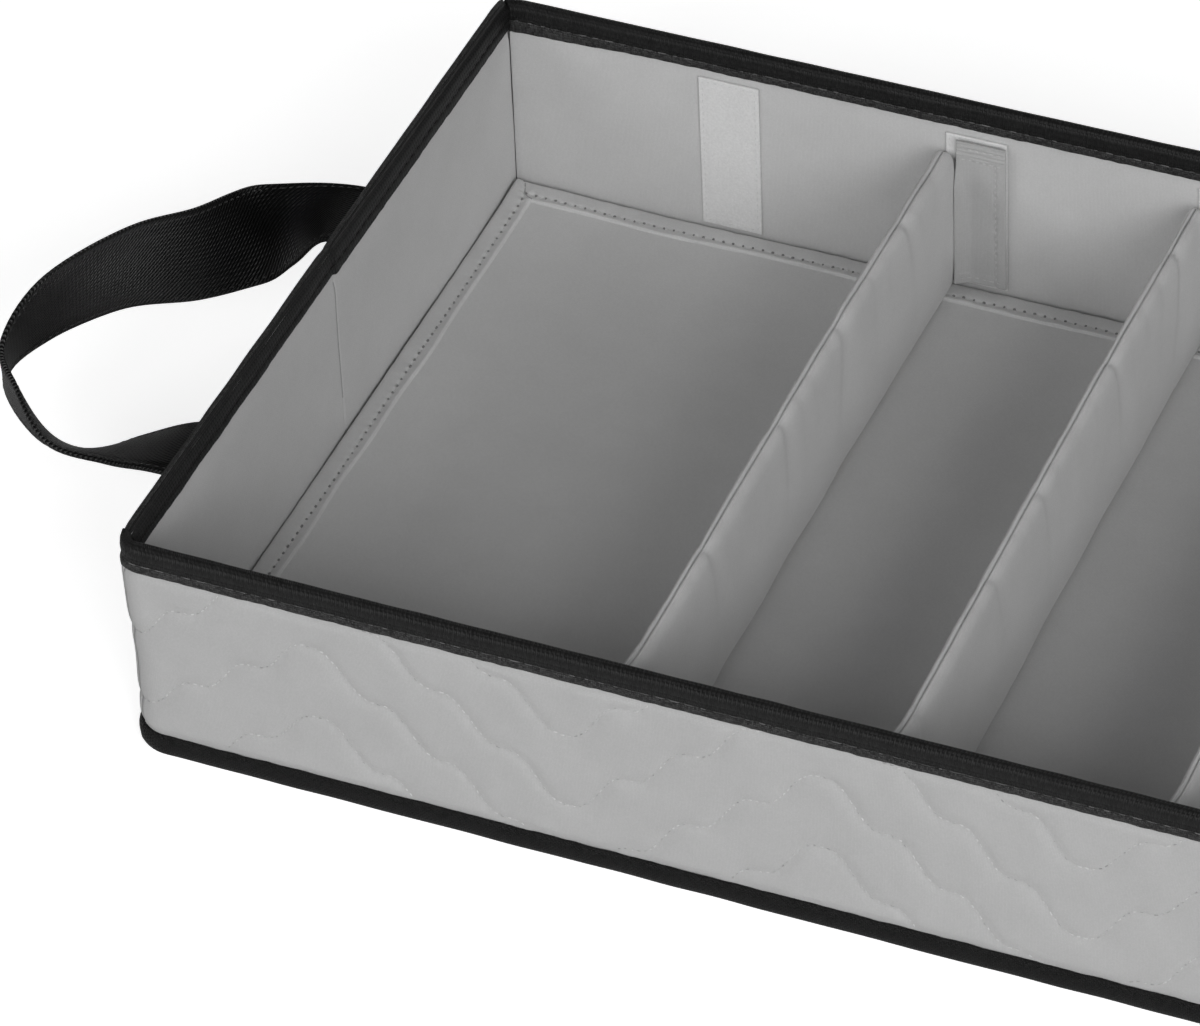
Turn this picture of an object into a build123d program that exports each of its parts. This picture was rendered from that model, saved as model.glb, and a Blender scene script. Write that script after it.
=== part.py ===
"""Soft-sided flatware storage case with lift-out padded dividers and strap handles.

Millimetres. +X runs along the length, +Y from the front wall to the back wall, +Z up.
The origin is the middle of the footprint, on the surface that the case stands on.
"""

from build123d import *
from math import cos, radians, sin, sqrt
import os

os.makedirs("parts", exist_ok=True)

# Overall size, measured over the bindings
case_length = 508.0
case_depth = 356.0
case_height = 100.0
corner_radius = 10.0

# Wall build-up from the outside in
binding_thick = 0.9
cover_thick = 1.4
board_thick = 1.6
lining_thick = 0.6
layer_gap = 0.1
least_corner_radius = 0.5

# Bindings
rim_binding_drop = 11.7
rim_binding_edge_radius = 1.6
base_binding_rise = 10.4
base_binding_underlap = 10.0
base_binding_edge_radius = 1.6

# Stiffener boards
board_corner_margin = 1.0
end_wall_crease_gap = 3.0

# Lift-out base insert
insert_lift_gap = 0.3
insert_side_clearance = 0.5
insert_cover_thick = 0.8
insert_board_thick = 3.0
insert_foam_thick = 4.3
insert_corner_radius = 3.0

# Loop strips on the long walls
strip_count = 4
strip_pitch = 103.5
strip_width = 25.4
strip_thick = 1.2
strip_above_insert = 0.3
strip_below_flap = 3.6

# Lift-out dividers, each standing at one pair of loop strips
divider_strips = (1, 2, 3)
divider_thick = 8.0
divider_below_rim = 21.1
divider_end_gap = 1.7
divider_seat_gap = 0.3
divider_from_strip_edge = 5.2
divider_edge_radius = 2.5
divider_skin = 3.5
divider_board_thick = 2.0
divider_board_play = 0.1

# End tabs of the dividers and the hook patches behind them
tab_thick = 1.1
tab_above_insert = 3.2
tab_above_divider = 5.4
tab_past_strip = 0.5
tab_corner_radius = 1.5
hook_thick = 1.2
hook_clearance = 0.3
hook_margin = 2.0

# Strap handles on the end walls
strap_width = 38.0
strap_thick = 2.4
strap_wall_gap = 0.3
handle_spacing = 147.0
handle_reach = 110.0
handle_rise = 58.0
sewn_end_height = 36.0
sewn_end_gap = 0.9
sewn_end_radius = 3.0

# Route of a strap from its back fold to its front fold. Each station gives the distance
# out from the fold as a share of the reach, the place along the wall as a share of half
# the spacing, the height over the fold as a share of the reach, and the roll of the strap
# in degrees, where 0 lies flat and 90 stands on edge.
strap_route = (
    (0.00, 1.00, 0.0, 0.0),
    (0.24, 1.00, 0.0, 8.0),
    (0.44, 0.95, -0.073, 36.0),
    (0.57, 0.73, -0.064, 66.0),
    (0.68, 0.43, -0.018, 78.0),
    (0.82, 0.14, 0.018, 91.0),
    (0.94, -0.17, 0.045, 104.0),
    (1.00, -0.52, 0.027, 112.0),
    (0.95, -0.84, -0.045, 86.0),
    (0.76, -1.02, -0.109, 52.0),
    (0.50, -1.06, -0.091, 29.0),
    (0.25, -1.03, -0.027, 12.0),
    (0.00, -1.00, 0.0, 0.0),
)

# Distances inward from the outer face of the bindings
cover_outer = binding_thick + layer_gap
cover_inner = cover_outer + cover_thick
board_outer = cover_inner + layer_gap
board_inner = board_outer + board_thick
lining_outer = board_inner + layer_gap
lining_inner = lining_outer + lining_thick
flap_outer = lining_inner + layer_gap
flap_inner = flap_outer + binding_thick

# Heights of the layers of the floor and the top of the wall sandwich
wall_bottom = binding_thick + layer_gap
wall_top = case_height - binding_thick - layer_gap
bottom_lining_base = wall_bottom + cover_thick + layer_gap
panel_base = bottom_lining_base + lining_thick + layer_gap
insert_base = bottom_lining_base + lining_thick + insert_lift_gap
insert_board_base = insert_base + insert_cover_thick + layer_gap
insert_foam_base = insert_board_base + insert_board_thick + layer_gap
insert_foam_top = insert_foam_base + insert_foam_thick
insert_top = insert_foam_top + layer_gap + insert_cover_thick

# Clear inner faces that the insert and the dividers work against
inner_half_length = case_length / 2 - lining_inner
inner_half_depth = case_depth / 2 - lining_inner
strip_outer = inner_half_depth - layer_gap
strip_inner = strip_outer - strip_thick
flap_half_length = case_length / 2 - flap_inner
flap_half_depth = case_depth / 2 - flap_inner


def save(piece, label):
    """Label a finished piece and write it as one STEP file."""
    piece.label = label
    export_step(piece, f"parts/{label}.step")


def middle(span):
    """Return the middle of a pair of limits."""
    return (span[0] + span[1]) / 2


def plate(x_span, y_span, z_span, corner=0.0):
    """Return a flat plate between the given limits, its upright edges rounded by corner."""
    with BuildPart() as slab:
        with BuildSketch(Plane.XY.offset(z_span[0])):
            with Locations((middle(x_span), middle(y_span))):
                if corner > 0:
                    RectangleRounded(x_span[1] - x_span[0], y_span[1] - y_span[0], corner)
                else:
                    Rectangle(x_span[1] - x_span[0], y_span[1] - y_span[0])
        extrude(amount=z_span[1] - z_span[0])
    return slab.part


def wall_plate(x_span, z_span, y_span, corner):
    """Return an upright plate in the XZ plane with its four face corners rounded."""
    with BuildPart() as slab:
        with BuildSketch(Plane.XZ.offset(-y_span[0])):
            with Locations((middle(x_span), middle(z_span))):
                RectangleRounded(x_span[1] - x_span[0], z_span[1] - z_span[0], corner)
        extrude(amount=-(y_span[1] - y_span[0]))
    return slab.part


def outline(inset, mode=Mode.ADD, corner=corner_radius):
    """Draw the plan outline of the case, moved inward by inset, in the open sketch."""
    RectangleRounded(
        case_length - 2 * inset,
        case_depth - 2 * inset,
        max(corner - inset, least_corner_radius),
        mode=mode,
    )


def keep_side(wedge, turn):
    """Keep the part of the open sketch that lies on one side of the case."""
    with Locations(Location((0, 0, 0), (0, 0, turn))):
        Polygon(*wedge, align=None, mode=Mode.INTERSECT)


# Outer quilted covers: one panel a side, joined by a seam on the bisector of each corner
half_length = case_length / 2
half_depth = case_depth / 2
bisector_end = half_length - half_depth
long_side = [
    (-half_length + layer_gap, -half_depth),
    (half_length - layer_gap, -half_depth),
    (bisector_end, -layer_gap),
    (-bisector_end, -layer_gap),
]
short_side = [
    (-half_length, -half_depth + layer_gap),
    (-half_length, half_depth - layer_gap),
    (-bisector_end - layer_gap, 0),
]

side_wedges = {
    "front": (long_side, 0),
    "back": (long_side, 180),
    "left": (short_side, 0),
    "right": (short_side, 180),
}

for side, (wedge, turn) in side_wedges.items():
    with BuildPart() as cover:
        with BuildSketch(Plane.XY.offset(wall_bottom)):
            outline(cover_outer)
            outline(cover_inner, Mode.SUBTRACT)
            keep_side(wedge, turn)
        extrude(amount=wall_top - wall_bottom)
    save(cover.part, f"{side}_cover")

# Bottom fabric, outside and inside
with BuildPart() as bottom_cover:
    with BuildSketch(Plane.XY.offset(wall_bottom)):
        outline(cover_inner + layer_gap)
    extrude(amount=cover_thick)
save(bottom_cover.part, "bottom_cover")

with BuildPart() as bottom_lining:
    with BuildSketch(Plane.XY.offset(bottom_lining_base)):
        outline(cover_inner + layer_gap)
    extrude(amount=lining_thick)
save(bottom_lining.part, "bottom_lining")

# Stiffener boards: whole on the long walls, in two halves on the end walls, which crease
board_margin = corner_radius + board_corner_margin
board_span = (panel_base, wall_top)
long_board_x = (-half_length + board_margin, half_length - board_margin)
long_board_y = (half_depth - board_inner, half_depth - board_outer)
save(plate(long_board_x, (-long_board_y[1], -long_board_y[0]), board_span), "front_board")
save(plate(long_board_x, long_board_y, board_span), "back_board")

end_board_x = (half_length - board_inner, half_length - board_outer)
end_board_y = (end_wall_crease_gap / 2, half_depth - board_margin)
for side, x_span in (("left", (-end_board_x[1], -end_board_x[0])), ("right", end_board_x)):
    front_half_y = (-end_board_y[1], -end_board_y[0])
    save(plate(x_span, front_half_y, board_span), f"{side}_board_front_half")
    save(plate(x_span, end_board_y, board_span), f"{side}_board_back_half")

# Linings end short of the round inner corner of the cover
corner_rise = (corner_radius - cover_inner) ** 2 - (corner_radius - lining_outer) ** 2
corner_inset = corner_radius - sqrt(max(corner_rise, 0.0))
lining_end = max(lining_inner, corner_inset) + layer_gap
lining_span = (panel_base, wall_top)
long_lining_x = (-half_length + lining_end, half_length - lining_end)
long_lining_y = (half_depth - lining_inner, half_depth - lining_outer)
save(plate(long_lining_x, (-long_lining_y[1], -long_lining_y[0]), lining_span), "front_lining")
save(plate(long_lining_x, long_lining_y, lining_span), "back_lining")

end_lining_x = (half_length - lining_inner, half_length - lining_outer)
end_lining_y = (-half_depth + lining_end, half_depth - lining_end)
save(plate((-end_lining_x[1], -end_lining_x[0]), end_lining_y, lining_span), "left_lining")
save(plate(end_lining_x, end_lining_y, lining_span), "right_lining")

# Rim binding: tape folded over the top of the walls, one length a side, mitred at the
# corners, where the flap inside is folded square
flap_base = Plane.XY.offset(case_height - rim_binding_drop)
with BuildPart() as rim_ring:
    with BuildSketch(flap_base):
        outline(0)
        outline(flap_inner, Mode.SUBTRACT, least_corner_radius)
    extrude(amount=rim_binding_drop)
    with BuildSketch(flap_base):
        outline(binding_thick)
        outline(flap_outer, Mode.SUBTRACT, least_corner_radius)
    extrude(amount=rim_binding_drop - binding_thick, mode=Mode.SUBTRACT)
    rim_edges = rim_ring.faces().sort_by(Axis.Z)[-1]
    fillet(rim_edges.outer_wire().edges(), radius=rim_binding_edge_radius)

for side, (wedge, turn) in side_wedges.items():
    with BuildPart() as rim_length:
        with BuildSketch(flap_base):
            outline(0)
            keep_side(wedge, turn)
        extrude(amount=rim_binding_drop)
        add(rim_ring.part, mode=Mode.INTERSECT)
    save(rim_length.part, f"rim_binding_{side}")

# Base binding: tape folded round the bottom edge
with BuildPart() as base_binding:
    with BuildSketch():
        outline(0)
        outline(base_binding_underlap, Mode.SUBTRACT)
    extrude(amount=binding_thick)
    with BuildSketch():
        outline(0)
        outline(binding_thick, Mode.SUBTRACT)
    extrude(amount=base_binding_rise)
    bottom_face = base_binding.faces().sort_by(Axis.Z)[0]
    fillet(bottom_face.outer_wire().edges(), radius=base_binding_edge_radius)
save(base_binding.part, "base_binding")

# Loop strips sewn to the linings of the long walls
strip_base = insert_top + strip_above_insert
strip_z = (strip_base, case_height - rim_binding_drop - strip_below_flap)
strip_centres = [(i - (strip_count - 1) / 2) * strip_pitch for i in range(strip_count)]
for number, centre in enumerate(strip_centres, start=1):
    strip_x = (centre - strip_width / 2, centre + strip_width / 2)
    front_y = (-strip_outer, -strip_inner)
    save(plate(strip_x, front_y, strip_z), f"front_loop_strip_{number}")
    save(plate(strip_x, (strip_inner, strip_outer), strip_z), f"back_loop_strip_{number}")

# Base insert, small enough to lift out past the strips and the inner flap of the rim
insert_half_length = flap_half_length - insert_side_clearance
insert_half_depth = min(strip_inner, flap_half_depth) - insert_side_clearance
insert_x = (-insert_half_length, insert_half_length)
insert_y = (-insert_half_depth, insert_half_depth)
save(
    plate(insert_x, insert_y, (insert_base, insert_base + insert_cover_thick), insert_corner_radius),
    "insert_bottom_cover",
)

core_inset = insert_cover_thick + layer_gap
core_x = (-insert_half_length + core_inset, insert_half_length - core_inset)
core_y = (-insert_half_depth + core_inset, insert_half_depth - core_inset)
core_corner = insert_corner_radius - insert_cover_thick
save(
    plate(core_x, core_y, (insert_board_base, insert_foam_base - layer_gap), core_corner),
    "insert_board",
)
save(
    plate(core_x, core_y, (insert_foam_base, insert_foam_top), core_corner),
    "insert_foam",
)

with BuildPart() as insert_top_cover:
    with BuildSketch(Plane.XY.offset(insert_board_base)):
        RectangleRounded(2 * insert_half_length, 2 * insert_half_depth, insert_corner_radius)
    extrude(amount=insert_top - insert_board_base)
    with BuildSketch(Plane.XY.offset(insert_board_base)):
        RectangleRounded(
            2 * (insert_half_length - insert_cover_thick),
            2 * (insert_half_depth - insert_cover_thick),
            insert_corner_radius - insert_cover_thick,
        )
    extrude(amount=insert_foam_top + layer_gap - insert_board_base, mode=Mode.SUBTRACT)
save(insert_top_cover.part, "insert_top_cover")

# Dividers
divider_base = insert_top + divider_seat_gap
divider_top = case_height - divider_below_rim
divider_height = divider_top - divider_base
divider_half_length = inner_half_depth - divider_end_gap
hook_face = strip_inner - hook_clearance
tab_face = hook_face - hook_thick - layer_gap
tab_z = (insert_top + tab_above_insert, divider_top + tab_above_divider)

for number, strip_index in enumerate(divider_strips, start=1):
    strip_left = strip_centres[strip_index] - strip_width / 2
    strip_right = strip_centres[strip_index] + strip_width / 2
    right_face = strip_left + divider_from_strip_edge
    divider_x = (right_face - divider_thick, right_face)
    board_half = divider_board_thick / 2
    slot_half = board_half + divider_board_play

    with BuildPart() as divider_cover:
        with BuildSketch(Plane.XY.offset(divider_base)):
            with Locations((middle(divider_x), 0)):
                Rectangle(divider_thick, 2 * divider_half_length)
        extrude(amount=divider_height)
        upper_edges = divider_cover.faces().sort_by(Axis.Z)[-1].edges()
        upright_edges = divider_cover.edges().filter_by(Axis.Z)
        fillet(upper_edges + upright_edges, radius=divider_edge_radius)
        with BuildSketch(Plane.XY.offset(divider_base)):
            with Locations((middle(divider_x), 0)):
                Rectangle(2 * slot_half, 2 * (divider_half_length - divider_skin))
        extrude(amount=divider_height - divider_skin, mode=Mode.SUBTRACT)
    save(divider_cover.part, f"divider_{number}_cover")

    board_x = (middle(divider_x) - board_half, middle(divider_x) + board_half)
    board_end = divider_half_length - divider_skin - divider_board_play
    board_z = (divider_base, divider_top - divider_skin - divider_board_play)
    save(plate(board_x, (-board_end, board_end), board_z), f"divider_{number}_board")

    tab_x = (right_face + layer_gap, strip_right + tab_past_strip)
    tab_y = (tab_face - tab_thick, tab_face)
    hook_x = (tab_x[0] + hook_margin, tab_x[1] - hook_margin)
    hook_y = (hook_face - hook_thick, hook_face)
    hook_z = (tab_z[0] + hook_margin, tab_z[1] - hook_margin)
    for end, sign in (("front", -1), ("back", 1)):
        tab_limits = tuple(sorted((sign * tab_y[0], sign * tab_y[1])))
        hook_limits = tuple(sorted((sign * hook_y[0], sign * hook_y[1])))
        tab = wall_plate(tab_x, tab_z, tab_limits, tab_corner_radius)
        save(tab, f"divider_{number}_{end}_tab")
        save(plate(hook_x, hook_limits, hook_z), f"divider_{number}_{end}_hook")


# Strap handles
cover_face = half_length - cover_outer
fold_offset = strap_thick / 2 + strap_wall_gap
fold_x = cover_face + fold_offset


def strap_points():
    """Return the centre points of the left strap, from its back fold to its front fold."""
    return [
        Vector(
            -fold_x - share_out * handle_reach,
            share_along * handle_spacing / 2,
            handle_rise + share_up * handle_reach,
        )
        for share_out, share_along, share_up, _ in strap_route
    ]


def strap_stations():
    """Return a plane for each station of the left strap: x across it, z along it."""
    points = strap_points()
    last = len(points) - 1
    stations = []
    for index, (point, entry) in enumerate(zip(points, strap_route)):
        if index == 0:
            along = Vector(-1, 0, 0)
        elif index == last:
            along = Vector(1, 0, 0)
        else:
            along = (points[index + 1] - points[index - 1]).normalized()
        up = (Vector(0, 0, 1) - along * along.Z).normalized()
        outside = along.cross(up)
        roll = radians(entry[3])
        across = outside * cos(roll) + up * sin(roll)
        stations.append(Plane(origin=point, x_dir=across, z_dir=along))
    return stations


with BuildPart() as strap:
    for station in strap_stations():
        with BuildSketch(station):
            Rectangle(strap_width, strap_thick)
    loft(ruled=True)
    for sign in (-1, 1):
        fold_edge = (-fold_x, sign * handle_spacing / 2 - strap_width / 2, handle_rise)
        with BuildSketch(Plane(origin=fold_edge, x_dir=(1, 0, 0), z_dir=(0, 1, 0))):
            Circle(strap_thick / 2)
            outer_half = (Align.MAX, Align.CENTER)
            Rectangle(strap_thick, strap_thick, align=outer_half, mode=Mode.SUBTRACT)
        extrude(amount=strap_width)

save(strap.part, "left_handle_strap")
save(strap.part.rotate(Axis.Z, 180), "right_handle_strap")

sewn_top = handle_rise - strap_thick / 2 - sewn_end_gap
sewn_z = (sewn_top - sewn_end_height, sewn_top)
sewn_x = -cover_face - layer_gap - strap_thick
for end, sign in (("front", -1), ("back", 1)):
    centre = sign * handle_spacing / 2
    with BuildPart() as sewn_end:
        with BuildSketch(Plane.YZ.offset(sewn_x)):
            with Locations((centre, middle(sewn_z))):
                RectangleRounded(strap_width, sewn_end_height, sewn_end_radius)
        extrude(amount=strap_thick)
    save(sewn_end.part, f"left_handle_{end}_end")
    other_end = "back" if end == "front" else "front"
    save(sewn_end.part.rotate(Axis.Z, 180), f"right_handle_{other_end}_end")
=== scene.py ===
"""Soft-sided flatware storage case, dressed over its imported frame.

Lengths are in metres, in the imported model's frame: +X along the case, +Y from the front
wall to the back wall, +Z up, with the origin in the middle of the footprint.
"""

import logging
import math
from collections.abc import Callable
from dataclasses import dataclass
from enum import Enum
from functools import partial

import bmesh
import bpy
import numpy as np
from mathutils import Matrix, Vector

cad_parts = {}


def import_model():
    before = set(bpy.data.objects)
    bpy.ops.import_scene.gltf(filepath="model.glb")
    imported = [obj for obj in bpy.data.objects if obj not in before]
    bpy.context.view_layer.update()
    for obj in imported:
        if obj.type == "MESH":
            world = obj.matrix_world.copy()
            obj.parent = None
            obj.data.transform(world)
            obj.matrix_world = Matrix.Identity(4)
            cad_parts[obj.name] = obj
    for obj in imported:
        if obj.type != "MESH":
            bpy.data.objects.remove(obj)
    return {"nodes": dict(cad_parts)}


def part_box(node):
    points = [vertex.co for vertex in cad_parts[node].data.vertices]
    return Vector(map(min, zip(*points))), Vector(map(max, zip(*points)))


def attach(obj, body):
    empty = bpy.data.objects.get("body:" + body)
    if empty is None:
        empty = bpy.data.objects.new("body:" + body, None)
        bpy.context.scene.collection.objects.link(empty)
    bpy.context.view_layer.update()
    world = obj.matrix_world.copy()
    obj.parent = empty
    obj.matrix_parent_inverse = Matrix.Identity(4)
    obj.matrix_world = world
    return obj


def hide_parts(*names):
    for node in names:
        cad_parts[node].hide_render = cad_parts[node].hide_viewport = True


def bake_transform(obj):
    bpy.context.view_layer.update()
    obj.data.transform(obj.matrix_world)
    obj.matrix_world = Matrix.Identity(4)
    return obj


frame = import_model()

LOG = logging.getLogger("flatware_case")
MM = 0.001
CLOTH = "cloth"
NOISE_WAVES = 7
NOISE_LEVEL = 3.0
EDGE_PLACES = 5
MARK_PLACES = 7
MARK_REACH = 1.2 * MM
LEAST_GAP = 0.05 * MM
Relief = Callable[[np.ndarray, np.ndarray], np.ndarray]
Points = tuple[tuple[float, float], ...]
Triple = tuple[float, float, float]
Node = bpy.types.Node
Socket = bpy.types.NodeSocket


# Small helpers for shapes


def ease(value: np.ndarray) -> np.ndarray:
    """Return value clipped to 0..1 and smoothed at both ends."""
    x = np.clip(value, 0.0, 1.0)
    return x * x * (3.0 - 2.0 * x)


def rise(value: np.ndarray, start: float, width: float) -> np.ndarray:
    """Return 0 up to start and 1 from start + width on, smoothed between."""
    return ease((value - start) / width)


def fall(value: np.ndarray, end: float, width: float) -> np.ndarray:
    """Return 1 up to end - width and 0 from end on, smoothed between."""
    return ease((end - value) / width)


def before(value: np.ndarray, edge: float | np.ndarray, width: float) -> np.ndarray:
    """Return 1 short of the edge and 0 past it, smoothed over width."""
    return ease((edge - value) / width + 0.5)


def bell(offset: np.ndarray, width: float) -> np.ndarray:
    """Return a bell curve that is 1 where offset is 0."""
    return np.exp(-((offset / width) ** 2))


def soft_noise(u: np.ndarray, v: np.ndarray, size: float, seed: int) -> np.ndarray:
    """Return smooth noise of about -1 to 1 over a sheet.

    Args:
        u: Places along the sheet, in metres.
        v: Places across the sheet, in metres.
        size: Typical width of a swell, in metres.
        seed: Number that picks the pattern.

    Returns:
        The noise at each place.
    """
    rng = np.random.default_rng(seed)
    total = np.zeros(np.broadcast(u, v).shape)
    for _ in range(NOISE_WAVES):
        angle = rng.uniform(0.0, math.pi)
        turns = math.tau / (2.0 * size * rng.uniform(0.7, 1.5))
        across = u * math.cos(angle) + v * math.sin(angle)
        total += np.sin(across * turns + rng.uniform(0.0, math.tau))
    return total / NOISE_LEVEL


def spaced(length: float, step: float, edge: float, marks: tuple[float, ...] = ()) -> np.ndarray:
    """Return places from 0 to length, closer together at the edges and at the marks.

    Args:
        length: Length to divide.
        step: Usual distance between places.
        edge: Width of the rounded edge at both ends.
        marks: Distances from either end where finer steps are wanted.

    Returns:
        The places in rising order.
    """
    rim = edge * (1.0 - np.cos(np.linspace(0.0, math.pi / 2.0, EDGE_PLACES)))
    count = max(2, int(round((length - 2.0 * edge) / step)) + 1)
    places = [rim, length - rim, np.linspace(edge, length - edge, count)]
    for mark in marks:
        near = mark + np.linspace(-MARK_REACH, MARK_REACH, MARK_PLACES)
        places += [near, length - near]
    merged = np.unique(np.round(np.concatenate(places), 6))
    keep = np.concatenate([[True], np.diff(merged) > LEAST_GAP])
    merged = merged[keep & (merged >= 0.0) & (merged <= length + 1e-9)]
    merged[-1] = length
    return merged


def smooth_line(points: np.ndarray, count: int) -> np.ndarray:
    """Return a smooth line of count points through the given points, evenly shared."""
    padded = np.concatenate([2 * points[:1] - points[1:2], points, 2 * points[-1:] - points[-2:-1]])
    where = np.linspace(0.0, len(points) - 1.0, count)
    index = np.minimum(where.astype(int), len(points) - 2)
    t = (where - index)[:, None]
    a, b, c, d = (padded[index + k] for k in range(4))
    return 0.5 * (
        2 * b + (c - a) * t + (2 * a - 5 * b + 4 * c - d) * t**2 + (3 * b - a - 3 * c + d) * t**3
    )


def unit(vectors: np.ndarray) -> np.ndarray:
    """Return the vectors scaled to length 1."""
    return vectors / np.maximum(np.linalg.norm(vectors, axis=-1, keepdims=True), 1e-12)


def distances(line: np.ndarray) -> np.ndarray:
    """Return the distance along a line at each of its points."""
    return np.concatenate([[0.0], np.cumsum(np.linalg.norm(np.diff(line, axis=0), axis=1))])


def even_line(points: np.ndarray, step: float) -> np.ndarray:
    """Return the line resampled so that neighbours are about step apart."""
    run = distances(points)
    where = np.linspace(0.0, run[-1], max(2, int(run[-1] / step) + 1))
    return np.stack([np.interp(where, run, points[:, k]) for k in range(points.shape[1])], axis=1)


def folded_tape(skin: Points, back_skin: Points, count: int) -> np.ndarray:
    """Return a folded tape's closed section as insets and heights in metres.

    Args:
        skin: Points of its outer face, in millimetres.
        back_skin: Points of its inner face, back to the start, in millimetres.
        count: Places on the outer face.

    Returns:
        The section, one row for each place.
    """
    return np.concatenate([smooth_line(np.array(skin) * MM, count), np.array(back_skin) * MM])


class MeshMaker:
    """Collects the faces of one piece and turns them into an object."""

    STITCH_SIDES = 6
    STITCH_REACH = (-0.5, -0.3, 0.3, 0.5)
    STITCH_SWELL = (0.35, 1.0, 1.0, 0.35)
    STITCH_SINK = (-0.7, 0.25, 0.25, -0.7)
    STITCH_CAPS = ((0, 1, 2, 3), (0, 3, 4, 5), (21, 20, 19, 18), (23, 22, 21, 18))

    def __init__(self) -> None:
        self._verts: list[np.ndarray] = []
        self._faces: list[np.ndarray] = []
        self._cloth: list[np.ndarray] = []
        self._slots: list[np.ndarray] = []
        self._count = 0

    def add(self, verts: np.ndarray, faces: np.ndarray, cloth: np.ndarray, slot: int = 0) -> None:
        """Add quads.

        Args:
            verts: Corner points, one row each.
            faces: Four indices into verts for each quad.
            cloth: Cloth coordinates in metres for each corner of each quad.
            slot: Material slot of the quads.
        """
        self._verts.append(verts.reshape(-1, 3))
        self._faces.append(faces + self._count)
        self._cloth.append(cloth)
        self._slots.append(np.full(len(faces), slot, dtype=np.int32))
        self._count += len(self._verts[-1])

    @staticmethod
    def _quads(grid: np.ndarray) -> np.ndarray:
        """Return a grid's values at the corners of its quads, one row for each quad."""
        corners = [grid[:-1, :-1], grid[1:, :-1], grid[1:, 1:], grid[:-1, 1:]]
        return np.stack(corners, axis=2).reshape(-1, 4, *grid.shape[2:])

    def shell(
        self, front: np.ndarray, back: np.ndarray, cloth: np.ndarray,
        marked: np.ndarray | None = None,
    ) -> None:
        """Add a closed sheet whose two faces share their border.

        Args:
            front: Grid of points on the visible face.
            back: Grid of points on the hidden face.
            cloth: Cloth coordinates of the grid.
            marked: True for each quad of the visible face that has material slot 1, such as painted
                shade.
        """
        rows, columns = front.shape[:2]
        index = np.arange(rows * columns).reshape(rows, columns)
        behind = index.copy()
        inner = (rows - 2) * (columns - 2)
        behind[1:-1, 1:-1] = rows * columns + np.arange(inner).reshape(rows - 2, columns - 2)
        verts = np.concatenate([front.reshape(-1, 3), back[1:-1, 1:-1].reshape(-1, 3)])
        flat, uv = self._quads(index), self._quads(cloth)
        faces = np.concatenate([flat, self._quads(behind)[:, ::-1]])
        self.add(verts, faces, np.concatenate([uv, uv[:, ::-1]]))
        if marked is not None:
            self._slots[-1][: len(flat)] = marked.ravel()

    def tube(self, sections: np.ndarray, run: np.ndarray, slots: np.ndarray | None = None) -> None:
        """Add a closed section swept along a line, with its ends capped.

        Args:
            sections: Points, one row for each section, going once round it.
            run: Distance along the line of each section, for the cloth coordinates.
            slots: Material slot for each place round the section.
        """
        rows, columns = sections.shape[:2]
        index = np.arange(rows * columns).reshape(rows, columns)
        wrapped = np.concatenate([index, index[:, :1]], axis=1)
        middle = sections[rows // 2]
        around = distances(np.concatenate([middle, middle[:1]]))
        grid = np.stack(np.broadcast_arrays(run[:, None], around[None, :]), axis=-1)
        self.add(sections, self._quads(wrapped), self._quads(grid))
        if slots is not None:
            self._slots[-1] = np.tile(slots.astype(np.int32), rows - 1)
        half = columns // 2
        for row in (index[0], index[-1][::-1]):
            back = row[::-1]
            corners = [row[: half - 1], row[1:half], back[1:half], back[: half - 1]]
            pairs = np.stack(corners, axis=-1)
            self._faces.append(pairs + self._count - rows * columns)
            self._cloth.append(np.zeros((len(pairs), 4, 2)))
            self._slots.append(np.zeros(len(pairs), dtype=np.int32))

    def stitches(
        self, line: np.ndarray, normal: np.ndarray, sewing: "Sewing", slot: int = 1
    ) -> None:
        """Add a row of stitches along a line on a surface.

        Args:
            line: Points of the line, on the surface.
            normal: Direction out of the surface, one for all points or one for each.
            sewing: Size and spacing of the stitches.
            slot: Material slot of the thread.
        """
        run = distances(line)
        count = int(run[-1] / sewing.pitch)
        if count < 1:
            return
        middle = (np.arange(count) + 0.5) * run[-1] / count
        normals = np.broadcast_to(normal, line.shape)

        def at(where: np.ndarray, values: np.ndarray) -> np.ndarray:
            """Return the values at the given distances along the line."""
            return np.stack([np.interp(where, run, values[:, k]) for k in range(3)], axis=1)

        centre, near = at(middle, line), 0.3 * sewing.pitch
        along = unit(at(middle + near, line) - at(middle - near, line))
        side = unit(np.cross(along, unit(at(middle, normals))))
        out = np.cross(side, along)
        uneven = np.random.default_rng(count).uniform(1.0 - sewing.uneven, 1.0, count)[:, None]
        reach = np.array(self.STITCH_REACH) * sewing.length * uneven
        swell = np.array(self.STITCH_SWELL)[:, None] * sewing.radius
        sink = np.array(self.STITCH_SINK)[:, None] * sewing.radius
        turn = np.arange(self.STITCH_SIDES) * math.tau / self.STITCH_SIDES
        points = (
            centre[:, None, None]
            + along[:, None, None] * reach[:, :, None, None]
            + side[:, None, None] * (swell * np.cos(turn))[None, :, :, None]
            + out[:, None, None] * (swell * np.sin(turn) + sink)[None, :, :, None]
        )
        ring = np.arange(len(swell) * self.STITCH_SIDES).reshape(len(swell), self.STITCH_SIDES)
        sides = self._quads(np.concatenate([ring, ring[:, :1]], axis=1))
        one = np.concatenate([sides, np.array(self.STITCH_CAPS)])
        every = (one[None] + ring.size * np.arange(count)[:, None, None]).reshape(-1, 4)
        cloth = np.zeros((len(every), 4, 2))
        cloth[..., 0] = np.repeat(middle, len(one))[:, None]
        self.add(points, every, cloth, slot)

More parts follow.
